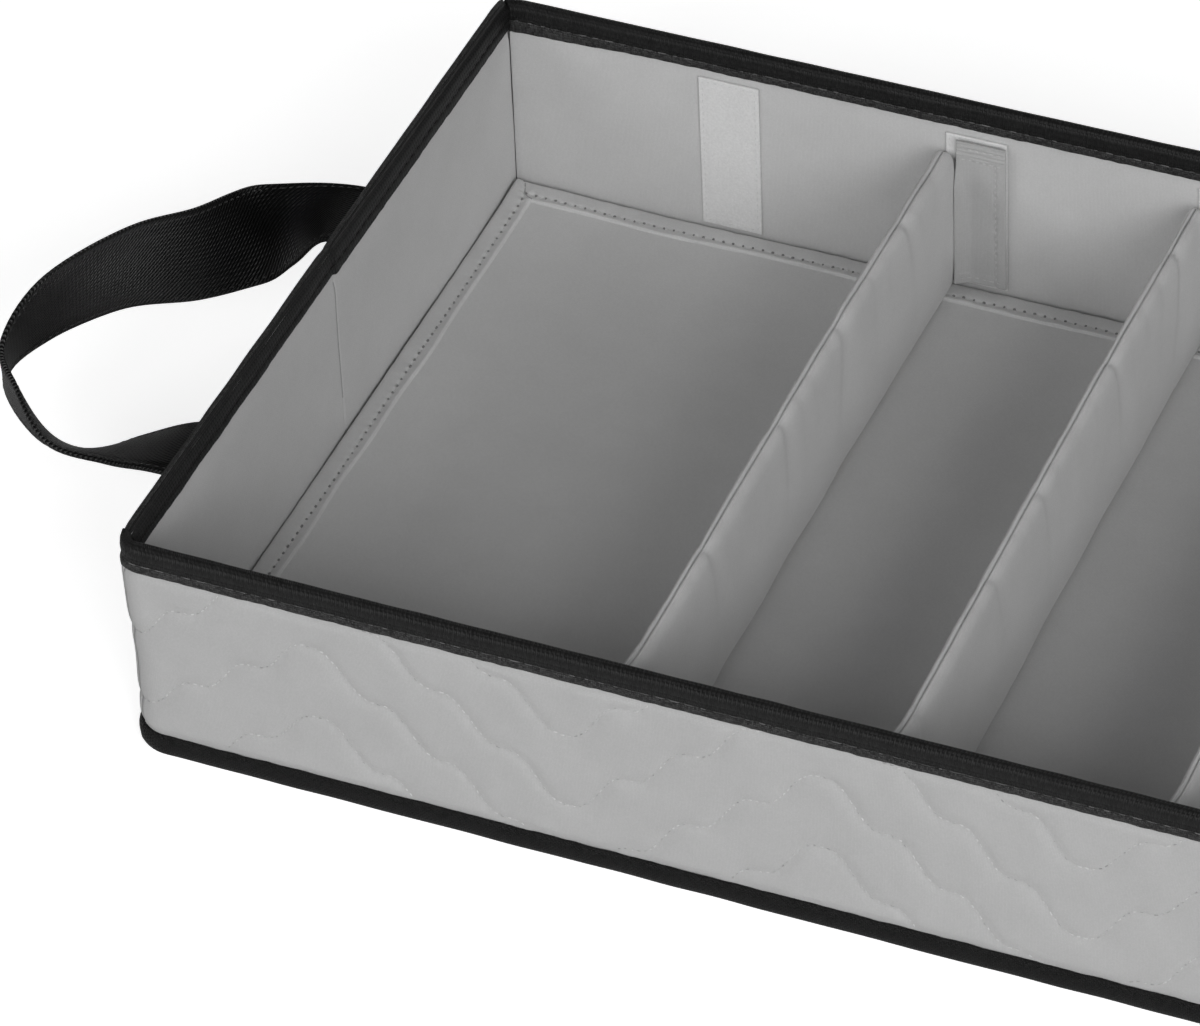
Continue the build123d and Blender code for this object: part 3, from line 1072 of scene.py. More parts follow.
@dataclass
class RimBinding:
    """Black tape folded over the rim, one length a side, mitred at the corners."""

    outline: Outline
    wardrobe: Wardrobe
    step: float = 1.3 * MM
    places_round: int = 70
    low_flap: float = 2.2 * MM
    seam_height: float = 92.0 * MM
    seam_width: float = 1.3 * MM
    outer_seam: float = 0.25 * MM
    inner_seam: float = 5.45 * MM
    hem_wave: float = 0.24 * MM
    pucker: float = 0.12 * MM
    lap_width: float = 2.0 * MM
    lap_out: float = 0.25 * MM
    lap_up: float = 0.3 * MM
    corner_bulge: float = 0.9 * MM
    corner_turn: float = 0.33
    groove_inset: float = 2.9 * MM
    groove_width: float = 0.45 * MM
    groove_depth: float = 0.35 * MM
    mitre_width: float = 1.1 * MM
    mitre_in: float = 0.35 * MM
    mitre_down: float = 0.4 * MM
    tuck_width: float = 2.5 * MM
    tuck_in: float = 0.3 * MM
    tuck_down: float = 0.35 * MM
    sewing: Sewing = Sewing(pitch=5.6 * MM, length=4.6 * MM, radius=0.22 * MM, uneven=0.7)
    skin: Points = (
        (0.45, 88.3), (-0.05, 88.6), (-0.3, 89.6), (-0.25, 90.9), (0.25, 92.0), (-0.05, 93.0),
        (-0.2, 94.5), (-0.3, 96.2), (-0.05, 97.8), (0.8, 99.2), (2.1, 99.9), (3.3, 99.95),
        (4.6, 99.5), (5.6, 98.4), (6.0, 96.8), (5.95, 95.2), (5.8, 93.4), (5.45, 92.0),
        (5.85, 91.0), (5.95, 89.8), (5.8, 88.7), (5.3, 88.3),
    )
    back_skin: Points = (
        (4.95, 88.5), (4.95, 93.0), (4.95, 98.0), (4.0, 98.9), (2.9, 99.05), (1.8, 98.9),
        (0.95, 98.0), (0.95, 93.0), (0.95, 88.5),
    )

    def _path(self, side: Side) -> SidePath:
        """Return one length's places: the front one wraps both of its corners."""
        turns, first, last = {
            Side.FRONT: ((2.0, 2.0), 0, 0),
            Side.RIGHT: ((0.0, 1.0), self.outline.arc_steps - 1, 0),
            Side.BACK: ((1.0, 1.0), 0, 0),
            Side.LEFT: ((1.0, 0.0), 0, self.outline.arc_steps - 1),
        }[side]
        return self.outline.side(side, self.step, turns).cut(first, last)

    def _bands(self, side: Side, section: np.ndarray) -> np.ndarray:
        """Return the slot of each place: 2 for a painted highlight on the parts that face up."""
        inset, height = section[:, 0], section[:, 1]
        low = height < self.seam_height + 0.2 * MM
        if side in (Side.LEFT, Side.RIGHT):
            shoulder = (inset < 2.7 * MM) & (height > 97.0 * MM)
            low = shoulder | (low & (inset < 3.0 * MM))
        return np.where(low, 2, 0)

    def build(self) -> None:
        """Make the four lengths of tape with their seams."""
        section = folded_tape(self.skin, self.back_skin, self.places_round)
        for side in Side:
            name = f"rim_binding_{side.name.lower()}"
            path = self._path(side)
            inset, z = path.swept(section)
            self._shape(side, path, inset, z)
            maker = MeshMaker()
            maker.tube(self._in_space(path, inset, z), path.run, self._bands(side, section))
            self._sew(maker, path)
            # Slot 2 is the lighter copy of the tape: painted highlight.
            cloths = self.wardrobe.pick("tape_black", "dark_thread", "tape_painted_highlight")
            dress(maker.build(f"{name}_tape", cloths), name)

    def _shape(self, side: Side, path: SidePath, inset: np.ndarray, z: np.ndarray) -> None:
        """Give the tape its waves, puckers and folded ends.

        Args:
            side: The side.
            path: Its places.
            inset: Distances inward, changed in place.
            z: Heights, changed in place.
        """
        run, flat = path.run[:, None], np.zeros_like(z)
        out = np.where(inset < 3.0 * MM, -1.0, 1.0)
        hem = fall(z, 91.0 * MM, 2.5 * MM)
        short_wave = soft_noise(run, flat, 3.0 * MM, 14)
        wave = 0.2 * soft_noise(run, flat, 12.0 * MM, 11) + 0.6 * short_wave
        seam = bell(z - self.seam_height, self.seam_width)
        gathers = np.cos(math.tau * run / self.sewing.pitch)
        swell = soft_noise(run, inset + z, 14.0 * MM, 12 + side.value)
        top = rise(z, 97.0 * MM, 2.0 * MM)
        from_first, from_last = run - path.run[0], path.run[-1] - run
        z += hem * self.hem_wave * wave
        inset += out * (seam * self.pucker * gathers + self.pucker * swell)
        if side is Side.FRONT:
            lap = bell(np.minimum(from_first, from_last), self.lap_width)
            inset += out * lap * self.lap_out
            z += top * lap * self.lap_up
            turned = np.abs(path.angle[:, None] % (math.pi / 2.0) - math.pi / 4.0)
            bulge = bell(turned, self.corner_turn) * fall(z, 93.0 * MM, 2.0 * MM)
            inset -= np.where(out < 0.0, self.corner_bulge, 0.0) * bulge
            return
        tucked, mitred = np.zeros_like(run), np.zeros_like(run)
        if side is not Side.BACK:
            z -= self.groove_depth * bell(inset - self.groove_inset, self.groove_width) * top
            tucked = bell(from_last if side is Side.LEFT else from_first, self.tuck_width)
        if side in (Side.BACK, Side.RIGHT):
            mitred = np.maximum(mitred, bell(from_last, self.mitre_width))
        if side in (Side.BACK, Side.LEFT):
            mitred = np.maximum(mitred, bell(from_first, self.mitre_width))
        inset -= out * (self.mitre_in * mitred + self.tuck_in * tucked)
        z -= top * (self.mitre_down * mitred + self.tuck_down * tucked)
        droop = self.outline.droop(path)[:, None]
        if side is Side.BACK:
            low = fall(z, 91.5 * MM, 3.0 * MM) * ease(1.0 - from_last / (80.0 * MM))
            z -= np.where(out > 0.0, self.low_flap, 0.0) * low
            inset += np.where(out < 0.0, 0.4, 0.0) * droop
        z -= rise(z, 90.0 * MM, 6.0 * MM) * droop

    def _in_space(self, path: SidePath, inset: np.ndarray, z: np.ndarray) -> np.ndarray:
        """Return the tape's points, with the step at the crease of the end walls."""
        points = path.points(inset, z, tightening=1.5)
        if path.side in (Side.FRONT, Side.BACK):
            return points
        return self.outline.step_at_crease(points)

    def _sew(self, maker: MeshMaker, path: SidePath) -> None:
        """Sew the seam outside and inside."""
        kept = path.cut(4, 4)
        inner_slot = 0 if path.side in (Side.LEFT, Side.RIGHT) else 1
        for inset, sign, slot in ((self.outer_seam, 1.0, 1), (self.inner_seam, -1.0, inner_slot)):
            places = np.full((len(kept.run), 1), inset)
            heights = np.full_like(places, self.seam_height)
            line = self._in_space(kept, places, heights)[:, 0]
            maker.stitches(line, kept.outward * sign, self.sewing, slot)


@dataclass
class BaseBinding:
    """Black tape folded round the bottom edge."""

    outline: Outline
    wardrobe: Wardrobe
    step: float = 2.0 * MM
    places_round: int = 34
    lip_from: float = 7.5 * MM
    lip_width: float = 2.5 * MM
    long_wave: float = 0.16 * MM
    short_wave: float = 0.14 * MM
    roll_to: float = 4.0 * MM
    roll_width: float = 3.0 * MM
    roll_swell: float = 0.16 * MM
    skin: Points = (
        (0.9, 10.35), (0.35, 10.4), (-0.15, 9.9), (-0.8, 8.6), (-1.15, 6.6), (-1.05, 4.6),
        (-0.5, 2.7), (0.4, 1.2), (1.6, 0.4), (2.9, 0.08), (4.6, 0.02), (7.5, 0.02), (9.6, 0.05),
        (10.0, 0.35),
    )
    back_skin: Points = (
        (9.8, 0.88), (6.5, 0.9), (3.5, 0.92), (2.0, 1.3), (1.1, 2.4), (0.95, 4.0), (0.95, 7.0),
        (0.95, 10.0),
    )

    def build(self) -> None:
        """Make the tape as one ring."""
        section = folded_tape(self.skin, self.back_skin, self.places_round)
        rows, runs = [], []
        for path in (self.outline.side(side, self.step) for side in Side):
            inset, z = path.swept(section)
            run, flat = path.run[:, None], np.zeros_like(z)
            lip = rise(z, self.lip_from, self.lip_width)
            z += lip * self.long_wave * soft_noise(run, flat, 8.0 * MM, 21)
            z += lip * self.short_wave * soft_noise(run, flat, 3.0 * MM, 23)
            roll = fall(inset, self.roll_to, self.roll_width) * self.roll_swell
            inset -= roll * soft_noise(run, z, 12.0 * MM, 22)
            rows.append(path.points(inset, np.maximum(z, 0.0), tightening=0.9)[:-1])
            runs.append(path.run[:-1])
        rows.append(rows[0][:1])
        runs.append(np.array([self.outline.length_round]))
        maker = MeshMaker()
        maker.tube(np.concatenate(rows), np.concatenate(runs))
        # The base binding takes the darker copy of the black tape: painted shade.
        made = maker.build("base_binding_tape", self.wardrobe.pick("tape_base_shaded"))
        dress(made, "base_binding")


@dataclass
class Panel:
    """A flat piece of cloth, tape or padding that fills the box of a CAD node."""

    node: str
    facing: int
    edge: float
    step: float
    squareness: float = 2.0
    marks: tuple[float, ...] = ()
    grow: Triple = (0.0, 0.0, 0.0)
    bend: Relief | None = None
    row_step: float = 0.8 * MM

    def __post_init__(self) -> None:
        """Read the node's box and choose the thin axis."""
        low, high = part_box(self.node)
        self.low = np.array(low) - np.array(self.grow)
        self.high = np.array(high) + np.array(self.grow)
        size = self.high - self.low
        self.thin = int(np.argmin(size))
        rest = [k for k in range(3) if k != self.thin]
        self.u_axis, self.v_axis = rest
        self.length, self.width = size[rest[0]], size[rest[1]]

    def places(self) -> tuple[np.ndarray, np.ndarray]:
        """Return the grid of places along and across the piece."""
        u = spaced(self.length, self.step, self.edge, self.marks)
        v = spaced(self.width, self.step, self.edge, self.marks)
        return np.meshgrid(u, v, indexing="ij")

    def from_edge(self, u: np.ndarray, v: np.ndarray) -> np.ndarray:
        """Return each place's distance from the nearest edge."""
        return np.minimum(np.minimum(u, self.length - u), np.minimum(v, self.width - v))

    def loop(self, margin: float) -> list[tuple[float, float]]:
        """Return the corners of a closed row that runs at the margin from every edge."""
        wide, tall = self.length - margin, self.width - margin
        return [(margin, margin), (wide, margin), (wide, tall), (margin, tall), (margin, margin)]

    def face(self, u: np.ndarray, v: np.ndarray, relief: np.ndarray, front: bool) -> np.ndarray:
        """Return points on one face of the piece.

        Args:
            u: Places along it.
            v: Places across it.
            relief: How far the face stands out of the box there.
            front: True for the visible face.

        Returns:
            The points in space.
        """
        near = np.clip(self.from_edge(u, v) / self.edge, 0.0, 1.0)
        power = self.squareness
        swell = (1.0 - (1.0 - near) ** power) ** (1.0 / power)
        sign = self.facing if front else -self.facing
        middle = (self.low[self.thin] + self.high[self.thin]) / 2.0
        wall = (self.low if sign < 0 else self.high)[self.thin]
        depth = middle + (wall - middle + sign * relief) * swell
        if self.bend:
            depth = depth + self.facing * self.bend(u, v)
        points = np.empty((*u.shape, 3))
        points[..., self.thin] = depth
        points[..., self.u_axis] = self.low[self.u_axis] + u
        points[..., self.v_axis] = self.low[self.v_axis] + v
        return points

    def fill(self, maker: MeshMaker, relief: Relief | None = None) -> None:
        """Add the piece to a mesh.

        Args:
            maker: The mesh.
            relief: Relief of the visible face, from places along and across.
        """
        u, v = self.places()
        front = relief(u, v) if relief else np.zeros_like(u)
        faces = self.face(u, v, front, True), self.face(u, v, np.zeros_like(u), False)
        maker.shell(*faces, np.stack([u, v], axis=-1))

    def row(
        self, maker: MeshMaker, corners: list[tuple[float, float]], sewing: Sewing, relief: Relief,
        slot: int = 1,
    ) -> None:
        """Sew a row of stitches between places on a face.

        Args:
            maker: The mesh.
            corners: Places along and across that the row passes.
            sewing: The stitches.
            relief: Relief of the visible face.
            slot: Material slot of the thread.
        """
        line = even_line(np.array(corners, dtype=float), self.row_step)
        u, v = line[:, 0], line[:, 1]
        points = self.face(u[:, None], v[:, None], relief(u, v)[:, None], True)[:, 0]
        normal = np.zeros(3)
        normal[self.thin] = self.facing
        maker.stitches(points, normal, sewing, slot)


@dataclass
class Linings:
    """Plain grey linings of the four walls, and the cloths of the floor."""

    outline: Outline
    wardrobe: Wardrobe
    step: float = 3.0 * MM
    crease_width: float = 0.7 * MM
    crease_depth: float = 0.3 * MM
    crease_shade_width: float = 0.35 * MM
    shade_from: float = 24.0 * MM
    shade_to: float = 78.0 * MM
    under_rim: float = 0.35 * MM
    rim_reach: float = 13.0 * MM
    end_width: float = 2.2 * MM
    end_rise: float = 0.35 * MM
    mean_swell: float = 0.25 * MM
    swell: float = 0.3 * MM
    press_from: float = 4.0 * MM
    press_width: float = 16.0 * MM
    press_share: float = 1.3

    def build(self) -> None:
        """Make the linings and the floor cloths."""
        walls = (("front", 1), ("back", -1), ("left", 1), ("right", -1))
        for number, (side, sign) in enumerate(walls):
            self._wall(side, sign, 31 + number)
        self._floor("bottom_cover", -1, "quilted_cover", "quilted_grey")
        self._floor("bottom_lining", 1, "lining_fabric", "lining_grey")

    def _wall(self, side: str, sign: int, seed: int) -> None:
        """Make the lining of one wall.

        Args:
            side: The wall's name.
            sign: Direction along the thin axis in which its visible face looks.
            seed: Number that picks its swells.
        """
        node = f"{side}_lining"
        panel = Panel(node, sign, 0.3 * MM, self.step)
        creased = side in ("left", "right")
        crease = self.outline.crease_place if side == "left" else -self.outline.crease_place
        if creased:
            panel.marks = (crease - panel.low[1],)
        maker = MeshMaker()
        u, v = panel.places()
        relief = self._relief(u, v, panel, seed)
        marked = None
        if creased:
            away = u + panel.low[1] - crease
            relief -= self.crease_depth * bell(away, self.crease_width)
            # A narrow band along the crease takes the darker crease_shade cloth: painted shade in
            # the crease.
            middle, up = (away[:-1, :-1] + away[1:, 1:]) / 2.0, v[:-1, :-1]
            marked = np.abs(middle) < self.crease_shade_width
            marked &= (up > self.shade_from) & (up < self.shade_to)
        front = panel.face(u, v, relief, True)
        back = panel.face(u, v, np.full_like(u, -0.1 * MM), False)
        self._press_corner(front)
        self._press_corner(back)
        maker.shell(front, back, np.stack([u, v], axis=-1), marked)
        made = maker.build(f"{node}_cloth", self.wardrobe.pick("lining_grey", "crease_shade"))
        dress(made, node)

    def _press_corner(self, points: np.ndarray) -> None:
        """Press the cloth down at the back left corner of the rim, in place."""
        case = self.outline
        x, y, z = (points[..., axis] for axis in range(3))
        from_corner = np.maximum(x + case.half_length, case.half_depth - y)
        near = ease(1.0 - (from_corner - self.press_from) / self.press_width)
        z -= self.press_share * case.corner_drop * near * rise(z, 88.0 * MM, 8.0 * MM)

    def _relief(self, u: np.ndarray, v: np.ndarray, panel: Panel, seed: int) -> np.ndarray:
        """Return how far a lining stands out, flat under the rim and drawn in at its ends."""
        free = fall(v, panel.high[2] - self.rim_reach - panel.low[2], 7.0 * MM)
        from_end = np.minimum(u, panel.length - u)
        drawn = bell(from_end, self.end_width) * fall(v, 60.0 * MM, 30.0 * MM)
        swell = self.mean_swell + self.swell * soft_noise(u, v, 45.0 * MM, seed)
        return (swell + self.under_rim) * free - self.under_rim + self.end_rise * drawn

    def _floor(self, node: str, sign: int, slot: str, cloth: str) -> None:
        """Make one cloth of the floor.

        Args:
            node: The CAD node that it replaces.
            sign: 1 when its visible face looks up, -1 when it looks down.
            slot: Finish slot; not used.
            cloth: Name of its material.
        """
        panel = Panel(node, sign, 0.5 * MM, 6.0 * MM)
        u, v = panel.places()
        maker = MeshMaker()
        relief = 0.05 * MM * soft_noise(u, v, 40.0 * MM, 37)
        faces = [panel.face(u, v, relief, True), panel.face(u, v, np.zeros_like(u), False)]
        radius = self.outline.base_corner - (self.outline.half_length - panel.high[0])
        for face in faces:
            self._round_corners(face, panel.high[:2] - radius, radius)
        maker.shell(*faces, np.stack([u, v], axis=-1))
        made = maker.build(f"{node}_cloth", self.wardrobe.pick(cloth))
        dress(made, node)

    @staticmethod
    def _round_corners(points: np.ndarray, centre: np.ndarray, radius: float) -> None:
        """Draw the points past the corners of a floor cloth in to an arc, in place."""
        past = np.maximum(np.abs(points[..., :2]) - centre, 0.0)
        reach = np.linalg.norm(past, axis=-1)
        scale = np.where(reach > radius, radius / np.maximum(reach, 1e-9), 1.0)[..., None]
        corner = (past > 0.0).all(axis=-1)[..., None]
        drawn = np.sign(points[..., :2]) * (centre + past * scale)
        points[..., :2] = np.where(corner, drawn, points[..., :2])


@dataclass
class LoopStrips:
    """Strips of loop tape sewn to the linings of the long walls."""

    wardrobe: Wardrobe
    count: int = 4
    margin: float = 1.7 * MM
    sewing: Sewing = Sewing(pitch=3.0 * MM, length=2.1 * MM, radius=0.2 * MM)

    def build(self) -> None:
        """Make the strips of both walls."""
        for wall, sign in (("front", 1), ("back", -1)):
            for number in range(1, self.count + 1):
                node = f"{wall}_loop_strip_{number}"
                panel = Panel(node, sign, 0.5 * MM, 1.6 * MM)
                seed = 40 + number + (5 if sign > 0 else 0)
                relief = partial(self._relief, panel, seed)
                maker = MeshMaker()
                panel.fill(maker, relief)
                panel.row(maker, panel.loop(self.margin), self.sewing, relief)
                made = maker.build(f"{node}_tape", self.wardrobe.pick("loop_grey", "loop_thread"))
                dress(made, node)

    def _relief(self, panel: Panel, seed: int, u: np.ndarray, v: np.ndarray) -> np.ndarray:
        """Return how far a strip stands out: it is pressed in along its seam.

        Args:
            panel: The strip.
            seed: Number that picks its lumps.
            u: Places along it.
            v: Places across it.

        Returns:
            The relief in metres.
        """
        near = np.abs(panel.from_edge(u, v) - self.margin)
        pressed = 0.3 * MM * bell(near, 0.8 * MM)
        return 0.08 * MM * soft_noise(u, v, 5.0 * MM, seed) - pressed


@dataclass
class BaseInsert:
    """Lift-out padded floor with a sewn hem."""

    wardrobe: Wardrobe
    hem: float = 11.5 * MM
    hem_seam: float = 8.1 * MM
    side_reach: float = 0.8 * MM
    hem_rise: float = 0.9 * MM
    hem_lap: float = 0.9 * MM
    mitre_bend: float = 1.8 * MM
    corner_lift: float = 1.6 * MM
    seam_width: float = 0.9 * MM
    seam_depth: float = 0.35 * MM
    gather_width: float = 1.8 * MM
    gather: float = 0.3 * MM
    lip_back: float = 0.8 * MM
    lip_width: float = 0.7 * MM
    lip_rise: float = 0.3 * MM
    lump: float = 0.14 * MM
    edge_wave: float = 0.35 * MM
    sewing: Sewing = Sewing(pitch=4.4 * MM, length=1.7 * MM, radius=0.2 * MM)
    hole_shade: Sewing = Sewing(pitch=4.4 * MM, length=1.5 * MM, radius=0.5 * MM, uneven=0.5)
    # A thin dark thread of painted shade along each corner fold.
    fold_shade: Sewing = Sewing(pitch=1.0 * MM, length=1.5 * MM, radius=0.28 * MM, uneven=0.0)

    def build(self) -> None:
        """Make the two covers and the padding."""
        self._top_cover()
        lower = Panel("insert_bottom_cover", -1, 0.35 * MM, 8.0 * MM)
        panel = Panel("insert_foam", 1, 1.5 * MM, 8.0 * MM, grow=(-0.6 * MM, -0.6 * MM, -1.3 * MM))
        bottom = self._plain(lower, "insert_bottom_cloth", "insert_grey")
        self._plain(panel, "insert_padding", "wadding_white")

    def _plain(self, panel: Panel, name: str, cloth: str) -> bpy.types.Object:
        """Make a piece that has no relief.

        Args:
            panel: Its box.
            name: Name of the piece.
            cloth: Name of its material.

        Returns:
            The new object.
        """
        maker = MeshMaker()
        panel.fill(maker)
        made = maker.build(name, self.wardrobe.pick(cloth))
        dress(made, panel.node, "base_insert")
        return made

    def _band(self, near: np.ndarray, along: np.ndarray, seed: int) -> np.ndarray:
        """Return the relief of the sewn hem along one edge.

        Args:
            near: Distance from the edge.
            along: Places along the edge.
            seed: Number that picks the lumps.

        Returns:
            The relief in metres.
        """
        lumps = self.lump * soft_noise(along, near, 6.0 * MM, seed)
        wave = self.edge_wave * soft_noise(along, np.zeros_like(along), 30.0 * MM, seed + 1)
        edge = self.hem + wave
        from_seam = near - self.hem_seam
        seam = self.seam_depth * bell(from_seam, self.seam_width)
        pucker = np.cos(math.tau * along / self.sewing.pitch)
        gathers = bell(from_seam, self.gather_width) * self.gather * pucker
        lip = self.lip_rise * bell(near - edge + self.lip_back, self.lip_width)
        hem = self.hem_rise + lumps + gathers + lip - seam
        return before(near, edge, 0.6 * MM) * hem

    def _relief(self, panel: Panel, u: np.ndarray, v: np.ndarray) -> np.ndarray:
        """Return how far the top cover stands out, with the hem lapped over at its corners.

        Args:
            panel: The cover.
            u: Places along it.
            v: Places across it.

        Returns:
            The relief in metres.
        """
        from_side = np.minimum(u, panel.length - u)
        from_long = np.minimum(v, panel.width - v)
        turn = self.mitre_bend * np.sin(math.pi * (from_long + from_side) / self.hem)
        lap = ease((from_long - from_side + turn) / (0.9 * MM) + 0.5)
        in_corner = fall(from_long, 1.5 * self.hem, self.hem) * fall(from_side, self.hem, 1.0 * MM)
        along = self._band(from_long, u, 52) * (1.0 - lap)
        side = (self._band(from_side, v, 55) + self.hem_lap * in_corner) * lap
        middle = 0.25 * MM * soft_noise(u, v, 60.0 * MM, 51)
        lift = self.corner_lift * bell(np.hypot(u, panel.width - v), 45.0 * MM)
        return along + side + middle + lift - self.hem_rise - 0.1 * MM

    def _top_cover(self) -> None:
        """Make the top cover with its seam and corner folds, and painted shade in its stitch pits
        and folds.
        """
        panel = Panel("insert_top_cover", 1, 1.6 * MM, 1.3 * MM, marks=(self.hem_seam, self.hem))
        panel.low[0] -= self.side_reach
        panel.high[0] += self.side_reach
        panel.length += 2.0 * self.side_reach
        relief = partial(self._relief, panel)
        maker = MeshMaker()
        panel.fill(maker, relief)
        corners = panel.loop(self.hem_seam)
        panel.row(maker, corners, self.sewing, relief)
        # Short dark dots between the stitches paint the shade in the stitch pits.
        first, moved = self.hem_seam, self.hem_seam + self.hole_shade.pitch / 2.0
        shifted = [(moved, first), *corners[1:4], (first, moved)]
        panel.row(maker, shifted, self.hole_shade, relief, slot=2)
        for u_side in (0.0, 1.0):
            for v_side in (0.0, 1.0):
                self._mitre(maker, panel, relief, u_side, v_side)
        names = ("insert_grey", "hem_thread", "needle_hole_shade", "crease_shade")
        made = maker.build("insert_top_cloth", self.wardrobe.pick(*names))
        dress(made, panel.node, "base_insert")

    def _mitre(
        self, maker: MeshMaker, panel: Panel, relief: Relief, u_side: float, v_side: float
    ) -> None:
        """Draw a thin dark line of painted shade along the curved fold across one corner of the
        hem.

        Args:
            maker: The mesh.
            panel: The cover.
            relief: Its relief.
            u_side: 0 at the left, 1 at the right.
            v_side: 0 at the front, 1 at the back.
        """
        total = np.linspace(0.25, 1.95, 40) * self.hem
        turn = self.mitre_bend * np.sin(math.pi * total / self.hem)
        from_side, from_long = (total + turn) / 2.0 + 0.5 * MM, (total - turn) / 2.0 - 0.5 * MM
        u = np.abs(u_side * panel.length - from_side)
        v = np.abs(v_side * panel.width - from_long)
        panel.row(maker, list(zip(u, v)), self.fold_shade, relief, slot=3)


@dataclass
class Dividers:
    """Lift-out padded dividers with a sewn tab at each end."""

    wardrobe: Wardrobe
    count: int = 3
    step: float = 1.4 * MM
    places_round: int = 96
    end_round: float = 3.2 * MM
    top_round: float = 6.0 * MM
    middle: float = 4.0 * MM
    groove: float = 1.0 * MM
    groove_shade: float = 0.45 * MM
    bow: float = 2.6 * MM
    left_bow: float = 0.3
    left_folds: float = 0.35
    swell: float = 0.25 * MM
    seam_wave: float = 0.15 * MM
    rib_pitch: float = 2.0 * MM
    rib_depth: float = 0.26 * MM
    top_hem: float = 8.0 * MM
    side_hem: float = 4.6 * MM
    low_hem: float = 5.0 * MM
    tab_margin: float = 1.5 * MM
    tab_bend: float = 3.2 * MM
    sewing: Sewing = Sewing(pitch=2.8 * MM, length=1.9 * MM, radius=0.2 * MM)
    section: Points = (
        (3.1, 64.4), (3.45, 65.6), (4.2, 66.0), (5.3, 65.6), (6.5, 64.2), (7.3, 61.8), (7.8, 57.0),
        (8.2, 47.0), (8.3, 35.0), (8.1, 23.0), (7.7, 12.0), (7.2, 5.0), (6.6, 1.2), (5.4, 0.1),
        (4.0, 0.0), (2.4, 0.1), (1.3, 1.2), (0.7, 5.0), (0.3, 12.0), (0.0, 23.0), (-0.15, 35.0),
        (-0.1, 47.0), (0.1, 57.0), (0.4, 62.0), (0.9, 64.7), (1.6, 65.8), (2.3, 66.0), (2.8, 65.5),
    )

    def build(self) -> None:
        """Make every divider."""
        for number in range(1, self.count + 1):
            self._pad(number)
            self._tab(number, "front", 1)
            self._tab(number, "back", -1)

    def _outward(self, section: np.ndarray, from_groove: np.ndarray) -> np.ndarray:
        """Return the directions out of the section, straight up in its groove."""
        tangent = unit(np.roll(section, -1, axis=0) - np.roll(section, 1, axis=0))
        out = np.stack([-tangent[:, 1], tangent[:, 0]], axis=1)
        out *= np.sign((out * (section - section.mean(axis=0))).sum(axis=1))[:, None]
        out[from_groove < self.groove] = (0.0, 1.0)
        return out

    def _bowed(self, along: np.ndarray, length: float, section: np.ndarray) -> np.ndarray:
        """Return how far the divider bows to the right, less on its left side.

        Args:
            along: Places from its front end to its back one.
            length: Its whole length.
            section: Widths and heights of the places round it.

        Returns:
            The bow in metres.
        """
        wide, tall = section[:, 0], section[:, 1]
        bow = self.bow * fall(along, 0.75 * length, 0.7 * length) * ease(along / (0.09 * length))
        share = np.maximum(rise(tall, 57.0 * MM, 8.0 * MM), ease(wide / (7.0 * MM)))
        return bow * (self.left_bow + (1.0 - self.left_bow) * share)

    @staticmethod
    def _folds(along: np.ndarray, down: np.ndarray, seed: int) -> np.ndarray:
        """Return the depth of the folds that run down from the top seam.

        Args:
            along: Places along the divider.
            down: Distance down from the seam.
            seed: Number that picks the folds.

        Returns:
            The depth in metres.
        """
        rng = np.random.default_rng(seed)
        depth = np.zeros(np.broadcast(along, down).shape)
        place = rng.uniform(8.0, 20.0) * MM
        number = 0
        while place < along.max():
            strong = number % 4 == 1
            width = rng.uniform(1.6, 2.6) * MM + 0.07 * down
            away = along - place - rng.uniform(-0.1, 0.25) * down
            shape = np.exp(-((away / np.where(away < 0.0, 0.8 * width, 2.4 * width)) ** 2))
            reach = (rng.uniform(34.0, 52.0) if strong else rng.uniform(10.0, 24.0)) * MM
            size = (rng.uniform(0.9, 1.2) if strong else rng.uniform(0.25, 0.5)) * MM
            depth += size * shape * np.exp(-((down / reach) ** 1.5))
            place += rng.uniform(11.0, 22.0) * MM
            number += 1
        return depth * ease(down / (3.0 * MM))

    def _pad(self, number: int) -> None:
        """Make the padded cover of one divider, swept from end to end."""
        low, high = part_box(f"divider_{number}_cover")
        length = float(high.y - low.y)
        section = smooth_line(np.array(self.section) * MM, self.places_round)
        wide, tall = section[:, 0], section[:, 1]
        around = distances(section)
        total = around[-1] + float(np.linalg.norm(section[0] - section[-1]))
        from_groove = np.minimum(around, total - around)
        out = self._outward(section, from_groove)
        places = spaced(length, self.step, self.end_round)
        along, turn, down = places[:, None], around[None, :], from_groove[None, :]
        near = np.minimum(along, length - along)
        broad = soft_noise(along, turn, 26.0 * MM, 60 + 3 * number)
        seam_wave = soft_noise(along, np.zeros_like(along), 12.0 * MM, 65 + number)
        left_folds = self.left_folds * self._folds(along, down, 90 + number)
        folds = np.where(turn < total / 2.0, self._folds(along, down, 70 + number), left_folds)
        held = ease(near / (8.0 * MM)) * ease(down / (2.0 * MM))
        relief = (self.swell * broad - folds) * held
        swell = np.sqrt(1.0 - (1.0 - np.clip(near / self.end_round, 0.04, 1.0)) ** 2)
        short = np.clip(self.top_round - near, 0.0, self.top_round)
        pull = self.top_round - np.sqrt(self.top_round**2 - short**2)
        x = self.middle + (wide + out[:, 0] * relief - self.middle) * swell
        z = tall + out[:, 1] * relief
        z = z + self.seam_wave * seam_wave * rise(tall, 60.0 * MM, 5.0 * MM)
        z = z - pull * rise(z, 40.0 * MM, 26.0 * MM)
        x = x + self._bowed(along, length, section)
        points = np.stack(np.broadcast_arrays(low.x + x, low.y + along, low.z + z), axis=-1)
        maker = MeshMaker()
